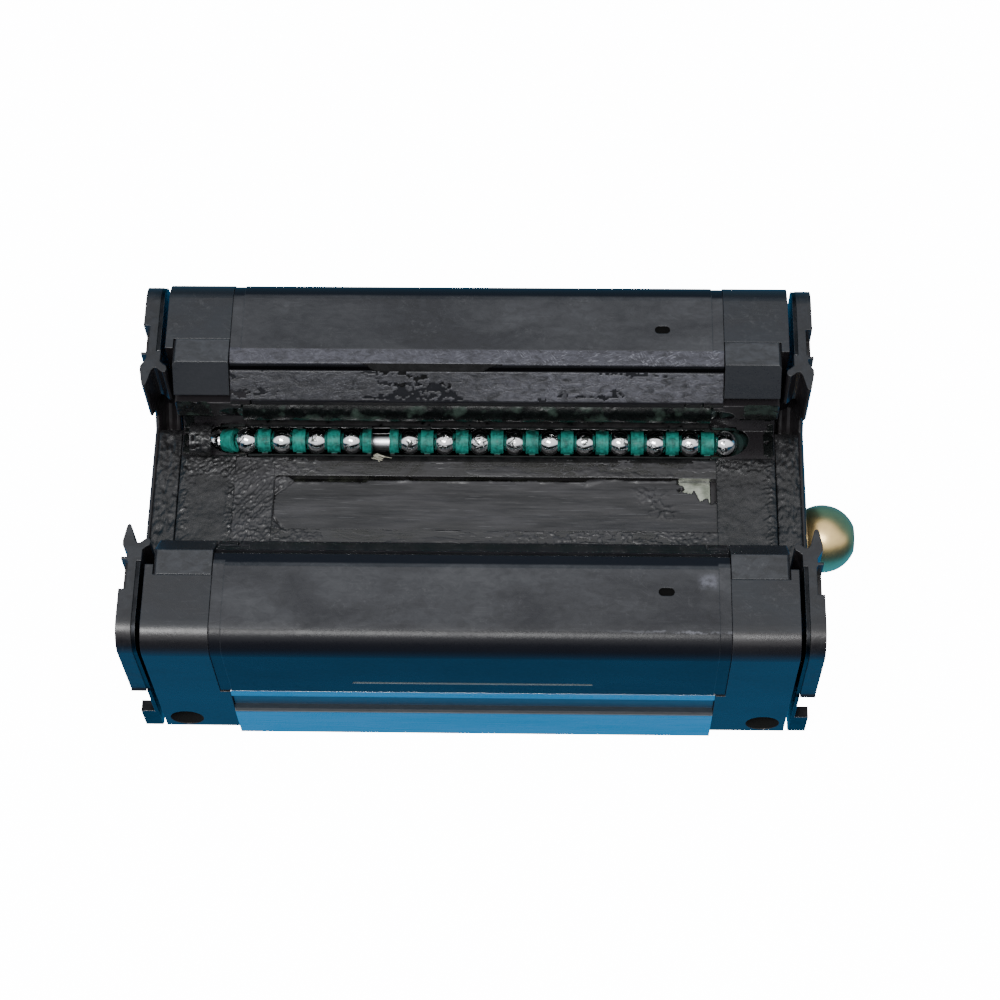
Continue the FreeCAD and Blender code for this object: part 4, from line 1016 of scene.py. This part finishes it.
def add_stage():
    """The floor, and a wide dome of its paper that only the camera sees, so that a low view has no
    horizon."""
    paper = floor_paper()
    mesh = bmesh.new()
    bmesh.ops.create_grid(mesh, x_segments=1, y_segments=1, size=FLOOR_HALF)
    floor = link_mesh(mesh, "floor", paper)
    floor.location.z = -FLOOR_DROP
    floor.visible_glossy = False
    floor.visible_diffuse = False
    mesh = bmesh.new()
    bmesh.ops.create_uvsphere(mesh, u_segments=48, v_segments=24, radius=DOME_RADIUS)
    dome = link_mesh(mesh, "backdrop", paper)
    dome.visible_glossy = False
    dome.visible_diffuse = False
    dome.visible_transmission = False
    dome.visible_shadow = False


# Colour of the room at each level, from -1 straight down to 1 straight up.
FRONT_SKY = ((-1.0, (0.045, 0.34, 0.74)), (-0.55, (0.04, 0.30, 0.66)), (-0.28, (0.012, 0.07, 0.15)),
             (0.0, (0.012, 0.045, 0.08)), (0.42, (0.015, 0.05, 0.085)), (0.54, (0.85, 0.87, 0.90)),
             (0.85, (1.15, 1.15, 1.17)))
BACK_SKY = ((-1.0, (0.045, 0.34, 0.74)), (-0.3, (0.03, 0.16, 0.30)), (0.0, (0.06, 0.23, 0.37)),
            (0.55, (0.045, 0.17, 0.28)), (0.74, (0.05, 0.15, 0.23)), (0.83, (0.95, 0.97, 1.0)),
            (0.92, (1.18, 1.18, 1.20)))
SKY_STRENGTH = 1.1
SIDE_LIFT = 0.45        # how much further down the ceiling reaches at both sides
SIDE_POWER = 4.0        # how suddenly it does so
SKY_SEAM = 0.15         # half the width over which the front turns into the back


def add_world():
    """A studio room: a bright ceiling that reaches lower in front than behind, and blue walls and table."""
    world = bpy.data.worlds.new("studio")
    bpy.context.scene.world = world
    world.use_nodes = True
    nodes, links = world.node_tree.nodes, world.node_tree.links
    place = nodes.new("ShaderNodeTexCoord")
    parts = nodes.new("ShaderNodeSeparateXYZ")
    links.new(place.outputs["Generated"], parts.inputs["Vector"])
    sideways = nodes.new("ShaderNodeMath")
    sideways.operation = "POWER"
    sideways.inputs[1].default_value = SIDE_POWER
    links.new(parts.outputs["X"], sideways.inputs[0])
    height = nodes.new("ShaderNodeMath")
    height.operation = "MULTIPLY_ADD"
    height.inputs[1].default_value = SIDE_LIFT
    links.new(sideways.outputs[0], height.inputs[0])
    links.new(parts.outputs["Z"], height.inputs[2])
    stretch = nodes.new("ShaderNodeMapRange")
    stretch.inputs["From Min"].default_value = -1.0
    links.new(height.outputs[0], stretch.inputs["Value"])
    behind = nodes.new("ShaderNodeMapRange")
    behind.inputs["From Min"].default_value = -SKY_SEAM
    behind.inputs["From Max"].default_value = SKY_SEAM
    links.new(parts.outputs["Y"], behind.inputs["Value"])
    mix = nodes.new("ShaderNodeMix")
    mix.data_type = "RGBA"
    links.new(behind.outputs["Result"], mix.inputs["Factor"])
    for socket, stops in (("A", FRONT_SKY), ("B", BACK_SKY)):
        ramp = nodes.new("ShaderNodeValToRGB")
        links.new(stretch.outputs["Result"], ramp.inputs["Fac"])
        elements = ramp.color_ramp.elements
        elements.remove(elements[1])
        for k, (level, color) in enumerate(stops):
            item = elements.new((level + 1) / 2) if k else elements[0]
            item.color = (*color, 1.0)
        links.new(ramp.outputs["Color"], mix.inputs[socket])
    links.new(mix.outputs["Result"], nodes["Background"].inputs["Color"])
    nodes["Background"].inputs["Strength"].default_value = SKY_STRENGTH


KEY_PLACE = Vector((-0.10, -0.26, 0.60))
KEY_TARGET = Vector((0.0, 0.0, 0.012))
KEY_SIZE = (0.34, 0.16)
KEY_POWER = 3.0


def add_key_light():
    """One large soft lamp above the front."""
    light = bpy.data.lights.new("key", "AREA")
    light.shape = "RECTANGLE"
    light.size, light.size_y = KEY_SIZE
    light.energy = KEY_POWER
    lamp = bpy.data.objects.new("key", light)
    lamp.location = KEY_PLACE
    lamp.rotation_euler = (KEY_TARGET - KEY_PLACE).to_track_quat("-Z", "Y").to_euler()
    bpy.context.scene.collection.objects.link(lamp)


CAMERA_PLACE = (0.008764, -0.126917, 0.26578)
CAMERA_TURN = (0.467, 0.016, 0.017)
CAMERA_LENS = 86.45
CAMERA_SHIFT = 0.0019


def add_camera():
    """Looking steeply down from the front, a little to the right."""
    data = bpy.data.cameras.new("camera")
    data.sensor_width = 36.0
    data.lens = CAMERA_LENS
    data.shift_x = CAMERA_SHIFT
    data.clip_start = 0.01
    camera = bpy.data.objects.new("camera", data)
    camera.location = CAMERA_PLACE
    camera.rotation_euler = CAMERA_TURN
    bpy.context.scene.collection.objects.link(camera)
    bpy.context.scene.camera = camera


dress_nodes()
add_floor_grease()
add_strip_grease()
add_row_grease()
add_end_grease()
add_fibres()
add_nipple_spring()
add_stage()
add_world()
add_key_light()
add_camera()
